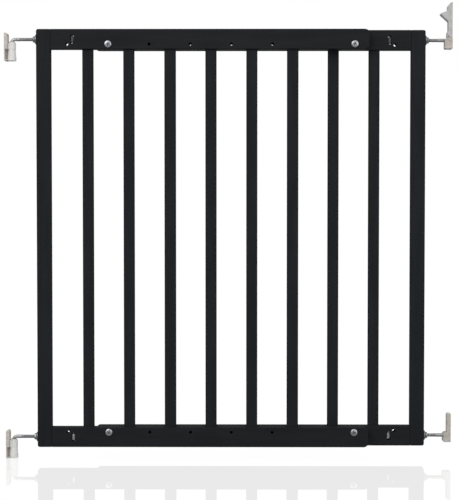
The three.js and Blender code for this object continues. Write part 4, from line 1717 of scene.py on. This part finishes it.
@dataclass
class ClosingFittings:
    """The lower closing cup, the upper one with its runner, and the lock slider on it."""

    fitter: Fitter
    reach: float = 13.2
    floor: float = 6.8
    channel: float = 3.5
    edge: float = 0.6
    foot_round: float = 2.0
    back_round: float = 0.9
    wall_round: float = 1.2
    lip_round: float = 0.8
    lower_top: float = 38.5
    lower_thick: float = 6.5
    lower_bottom: float = 11.0
    lower_round: float = 2.4
    lower_wall: float = 3.2
    lower_rise: float = 3.8
    lower_slit: float = 1.6
    lower_screws: tuple[float, float] = (16.5, 29.5)
    upper_bottom: float = 15.0
    upper_wall: float = 1.0
    web: tuple[float, float] = (7.0, 2.2)  # width and thickness of the runner behind its rail
    web_round: float = 0.5
    web_into_rail: float = 0.6
    rail: tuple[float, float] = (12.0, 2.5)  # width and thickness of the runner's rail
    rail_front: float = 0.8  # radii of the rail's top
    rail_back: float = 0.3
    rail_edge: float = 0.3
    rail_top: float = 48.0
    runner_root: float = 1.5  # how far the runner stands in the cup
    rail_screws: tuple[float, float] = (20.0, 38.0)
    gap: float = 0.3
    foot: float = 4.6
    depth: float = 7.2
    nose_depth: float = 9.2
    nose_top: float = 14.0
    nose_slope: float = 3.0
    nose_hole: tuple[float, float, float] = (1.1, 7.0, 6.6)  # radius, place out of the wall and height
    tab: tuple[float, float] = (20.4, 45.2)  # its tip's place out of the wall and height
    tab_under: float = 1.1  # the tab's tip, below and above its middle
    tab_over: float = 0.9
    tab_bottom: float = 32.0
    tab_top: float = 50.4
    head_depth: float = 8.2
    shoulder: float = 58.2
    shoulder_round: float = 1.6
    hollow_round: float = 1.5
    tip_depth: float = 2.8
    rib_count: int = 4
    rib_radius: float = 0.45
    rib_margin: float = 2.2

    def build(self) -> None:
        """Makes the three pieces."""
        low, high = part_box("closing_cup_lower")
        middle = (low.y + high.y) / 2
        lower = Place(Vector((high.x, middle, high.z - self.lower_top * MM)), turned=True)
        low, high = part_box("closing_cup_upper")
        upper = Place(Vector((high.x, middle, low.z + self.upper_bottom * MM)), turned=True)
        fit = self.fitter.fit
        fit("closing_cup_lower", self._lower_cup(lower), lower, Finish.IVORY, Slot.IVORY)
        fit("closing_cup_upper", self._upper_cup(upper), upper, Finish.IVORY, Slot.IVORY)
        fit("lock_slider", self._slider(upper), upper, Finish.GREY, Slot.GREY)

    def _channel(self, top: float) -> list[Solid]:
        """Makes the tools of the pin's channel, round at the bottom and open above and in front.

        Args:
            top: Height of the cup's top.

        Returns:
            The tools.
        """
        reach = self.reach + OVERRUN
        slot = Solid.block((self.floor, -self.channel, 0), (reach, self.channel, top + OVERRUN))
        return [slot, Solid.cylinder(self.channel, self.floor, reach).placed(ALONG_X)]

    def _lower_cup(self, place: Place) -> Solid:
        """Makes the lower cup with its wall plate.

        Args:
            place: The fitting's own axes.

        Returns:
            The cup.
        """
        low, high = place.box("closing_cup_lower")
        slope = self.lower_thick + self.lower_slit
        top = self.lower_wall + self.lower_rise
        corners = [
            (0, -self.lower_bottom, self.back_round),
            (self.reach, -self.lower_bottom, self.foot_round),
            (self.reach, self.lower_wall, self.wall_round),
            (slope, top, self.lip_round),
            (slope, top - self.lower_slit, 0),
            (self.lower_thick, top - self.lower_slit, 0),
            (self.lower_thick, self.lower_top, self.lower_round),
            (0, self.lower_top, self.back_round),
        ]
        body = Solid.slab(rounded(corners, steps=6), high.y - low.y, self.edge)
        screws = WallScrewHole()
        holes = [screws.tool(0, height, self.lower_thick) for height in self.lower_screws]
        return body.cut(*self._channel(top), *holes)

    def _upper_cup(self, place: Place) -> Solid:
        """Makes the upper cup with the runner of the slider.

        Args:
            place: The fitting's own axes.

        Returns:
            The cup.
        """
        low, high = place.box("closing_cup_upper")
        top = self.foot - self.gap
        corners = [
            (0, low.z, self.back_round),
            (self.reach, low.z, self.foot_round),
            (self.reach, self.upper_wall, self.wall_round),
            (self.nose_depth, top, self.lip_round),
            (0, top, self.back_round),
        ]
        base = Solid.slab(rounded(corners, steps=6), high.y - low.y, self.edge)
        face = self.web[1] + self.rail[1]
        start = top - self.runner_root
        corner = (self.web[1] + self.web_into_rail, self.rail_top - HAIRLINE)
        web = rectangle((0, start), corner, [0, 0, 0, self.web_round], steps=3)
        radii = [0, 0, self.rail_front, self.rail_back]
        rail = rectangle((self.web[1], start), (face, self.rail_top), radii, steps=3)
        screws = WallScrewHole()
        holes = [screws.tool(0, height, face) for height in self.rail_screws]
        runner = Solid.slab(web, self.web[0]), Solid.slab(rail, self.rail[0], self.rail_edge, steps=3)
        return base.joined(*runner).cut(*self._channel(top), *holes)

    def _slider(self, place: Place) -> Solid:
        """Makes the lock slider with its thumb tab and grip ribs.

        Args:
            place: The fitting's own axes.

        Returns:
            The slider.
        """
        low, high = place.box("lock_slider")
        back, width = self.gap, high.y - low.y
        soft, lip, hollow = self.back_round, self.lip_round, self.hollow_round
        corners = [
            (back, self.foot, lip),
            (self.nose_depth, self.foot, soft),
            (self.nose_depth, self.nose_top - self.nose_slope / 2, soft),
            (self.depth, self.nose_top + self.nose_slope / 2, hollow),
            (self.depth, self.tab_bottom, 2 * hollow),
            (self.tab[0], self.tab[1] - self.tab_under, soft),
            (self.tab[0], self.tab[1] + self.tab_over, soft),
            (self.head_depth, self.tab_top, hollow),
            (self.head_depth, self.shoulder, self.shoulder_round),
            (self.tip_depth, high.z, soft),
            (back, high.z, lip),
        ]
        body = Solid.slab(rounded(corners, steps=6), width, self.edge)
        foot, top = self.foot - OVERRUN, self.rail_top + self.gap
        web_depth, rail_depth = self.web[1], self.web[1] + self.rail[1]
        web_side, rail_side = self.web[0] / 2 + self.gap, self.rail[0] / 2 + self.gap
        web = Solid.block((-OVERRUN, -web_side, foot), (rail_depth, web_side, top))
        rail = Solid.block((web_depth - self.gap, -rail_side, foot), (rail_depth + self.gap, rail_side, top))
        radius, depth, height = self.nose_hole
        hole = Solid.cylinder(radius, -width, width, sides=24).placed(ALONG_Y).shifted(depth, 0, height)
        return body.cut(web, rail, hole, *self._ribs(width / 2 - self.rib_margin))

    def _ribs(self, reach: float) -> list[Solid]:
        """Makes the tools of the grooves between the ribs under the thumb tab.

        Args:
            reach: How far they run to each side.

        Returns:
            The tools.
        """
        start = Vector((self.depth, 0, self.tab_bottom))
        end = Vector((self.tab[0], 0, self.tab[1] - self.tab_under))
        tools = []
        for k in range(self.rib_count):
            spot = start.lerp(end, (k + 2) / (self.rib_count + 2))
            tool = Solid.cylinder(self.rib_radius, -reach, reach, sides=16).placed(ALONG_Y)
            tools.append(tool.shifted(spot.x, 0, spot.z))
        return tools


# ---------------------------------------------------------------- stage


@dataclass(frozen=True)
class Lamp:
    """A soft square lamp that faces the middle of the gate."""

    name: str
    place: tuple[float, float, float]
    watts: float
    mirrored: bool = True  # whether glossy surfaces show it
    size: float = 2.4

    def hang(self) -> None:
        """Puts the lamp in the scene."""
        data = bpy.data.lights.new(self.name, "AREA")
        data.size = self.size
        data.energy = self.watts
        lamp = bpy.data.objects.new(self.name, data)
        low, high = cad_box
        lamp.location = self.place
        lamp.rotation_euler = ((low + high) / 2 - Vector(self.place)).to_track_quat("-Z", "Y").to_euler()
        lamp.visible_glossy = self.mirrored
        bpy.context.scene.collection.objects.link(lamp)


@dataclass
class Studio:
    """The floor, the light and the camera, in metres."""

    lamps: tuple[Lamp, ...] = (
        Lamp("key", (-1.5, -2.6, 2.4), 36),  # over the left shoulder
        Lamp("fill", (2.6, -2.2, 1.0), 16),  # low on the right
        Lamp("back", (0.4, 2.8, 2.2), 22, mirrored=False),
    )
    camera_place: tuple[float, float, float] = (0.4012, -2.409, 0.4149)
    camera_down: float = 0.0325  # how far it looks down and to the left, in radians
    camera_aside: float = 0.0065
    camera_reach: float = 100.0
    lens: float = 100.53
    sensor: float = 36.0
    floor_size: float = 60.0
    floor_middle: float = 0.4
    floor_gap: float = 0.0001
    floor_glow: float = 0.96
    floor_gleam: float = 0.22  # its glow where the gate mirrors it
    floor_shown: float = 0.05  # its own colour where it is seen, which the shadow takes from
    floor_bounce: float = 0.34  # its own colour where it lights the gate
    floor_mirror: float = 0.19
    surround_matt: float = 0.86  # the surround where it lights matt surfaces
    gleam_low: float = 0.03  # the surround where it is mirrored, from every side
    gleam_up: float = 0.42  # what it gains from above
    gleam_front: float = 0.46  # what it gains from in front
    rise: Window = (-0.1, 0.9)  # upward part of the way, where that first gain starts and is full
    turn: Window = (-0.9, 0.4)  # rearward part, where the second is full and where it ends

    def build(self) -> None:
        """Sets the whole stage."""
        bpy.context.scene.view_settings.view_transform = "Standard"
        self._world()
        self._floor()
        for lamp in self.lamps:
            lamp.hang()
        self._camera()
        log.info("stage set")

    def _camera(self) -> None:
        """Places the camera in front of the gate, a little above its middle."""
        data = bpy.data.cameras.new("camera")
        data.lens = self.lens
        data.sensor_width = self.sensor
        data.clip_end = self.camera_reach
        camera = bpy.data.objects.new("camera", data)
        camera.location = self.camera_place
        camera.rotation_euler = (QUARTER - self.camera_down, 0, self.camera_aside)
        bpy.context.scene.collection.objects.link(camera)
        bpy.context.scene.camera = camera

    @staticmethod
    def _rays(shader: Shader, *kinds: str) -> Socket:
        """Tells rays of some kinds from others.

        Args:
            shader: The node tree.
            kinds: The kinds, as Light Path names them.

        Returns:
            1 for rays of any of the kinds, and 0 for others.
        """
        found = [shader.node("ShaderNodeLightPath", None, None, f"Is {kind} Ray") for kind in kinds]
        either = found[0]
        for other in found[1:]:
            either = either | other
        return either

    def _world(self) -> None:
        """Makes a surround that looks white and lights the gate most from above and in front."""
        world = bpy.data.worlds.new("world")
        bpy.context.scene.world = world
        shader = Shader(world)
        shown = self._rays(shader, "Camera", "Singular", "Transmission")
        way = shader.node("ShaderNodeTexCoord", None, None, "Generated")
        above = shader.window(shader.along(way, "Z"), *self.rise)
        ahead = 1 - shader.window(shader.along(way, "Y"), *self.turn)
        gleam = self.gleam_low + self.gleam_up * above + self.gleam_front * ahead
        level = self.surround_matt + (gleam - self.surround_matt) * self._rays(shader, "Glossy")
        strength = level + (1 - level) * shown
        surround = shader.node("ShaderNodeBackground", None, {"Color": (1.0, 1.0, 1.0), "Strength": strength})
        shader.node("ShaderNodeOutputWorld", None, {"Surface": surround})

    def _floor(self) -> None:
        """Lays a white floor under the lowest fitting, with a faint shadow and a faint mirror image."""
        low, _ = cad_box
        edit = bmesh.new()
        bmesh.ops.create_grid(edit, x_segments=2, y_segments=2, size=self.floor_size / 2)
        mesh = bpy.data.meshes.new("floor")
        edit.to_mesh(mesh)
        edit.free()
        floor = bpy.data.objects.new("floor", mesh)
        floor.location = (self.floor_middle, 0, low.z - self.floor_gap)
        bpy.context.scene.collection.objects.link(floor)
        material = bpy.data.materials.new("floor")
        shader = Shader(material)
        shown = self._rays(shader, "Camera")
        seen = self._rays(shader, "Camera", "Glossy")
        own = shader.blend(seen, (self.floor_bounce,) * 3, (self.floor_shown,) * 3)
        matt = shader.node("ShaderNodeBsdfDiffuse", None, {"Color": own})
        mirrored = self._rays(shader, "Glossy") * self.floor_gleam
        glow = shader.node("ShaderNodeEmission", None, {"Strength": shown * self.floor_glow + mirrored})
        lit = shader.node("ShaderNodeAddShader", None, {0: matt, 1: glow})
        mirror = shader.node("ShaderNodeBsdfGlossy", None, {"Color": (1.0, 1.0, 1.0), "Roughness": 0.0})
        skin = shader.node("ShaderNodeMixShader", None, {0: shown * self.floor_mirror, 1: lit, 2: mirror})
        shader.node("ShaderNodeOutputMaterial", None, {"Surface": skin})
        mesh.materials.append(material)


def main() -> None:
    """Builds the gate and its stage in order."""
    logging.basicConfig(level=logging.INFO, format="%(name)s: %(message)s")
    fitter = Fitter()
    Studio().build()
    HalfFrame("front", turned=False, fitter=fitter).build()
    HalfFrame("rear", turned=True, fitter=fitter).build()
    Connectors(fitter).build()
    ScrewPins(fitter).build()
    HingeFitting("lower", fitter).build()
    HingeFitting("upper", fitter).build()
    ClosingFittings(fitter).build()
    log.info("%d pieces fitted", fitter.fitted)


if __name__ == "__main__":
    main()
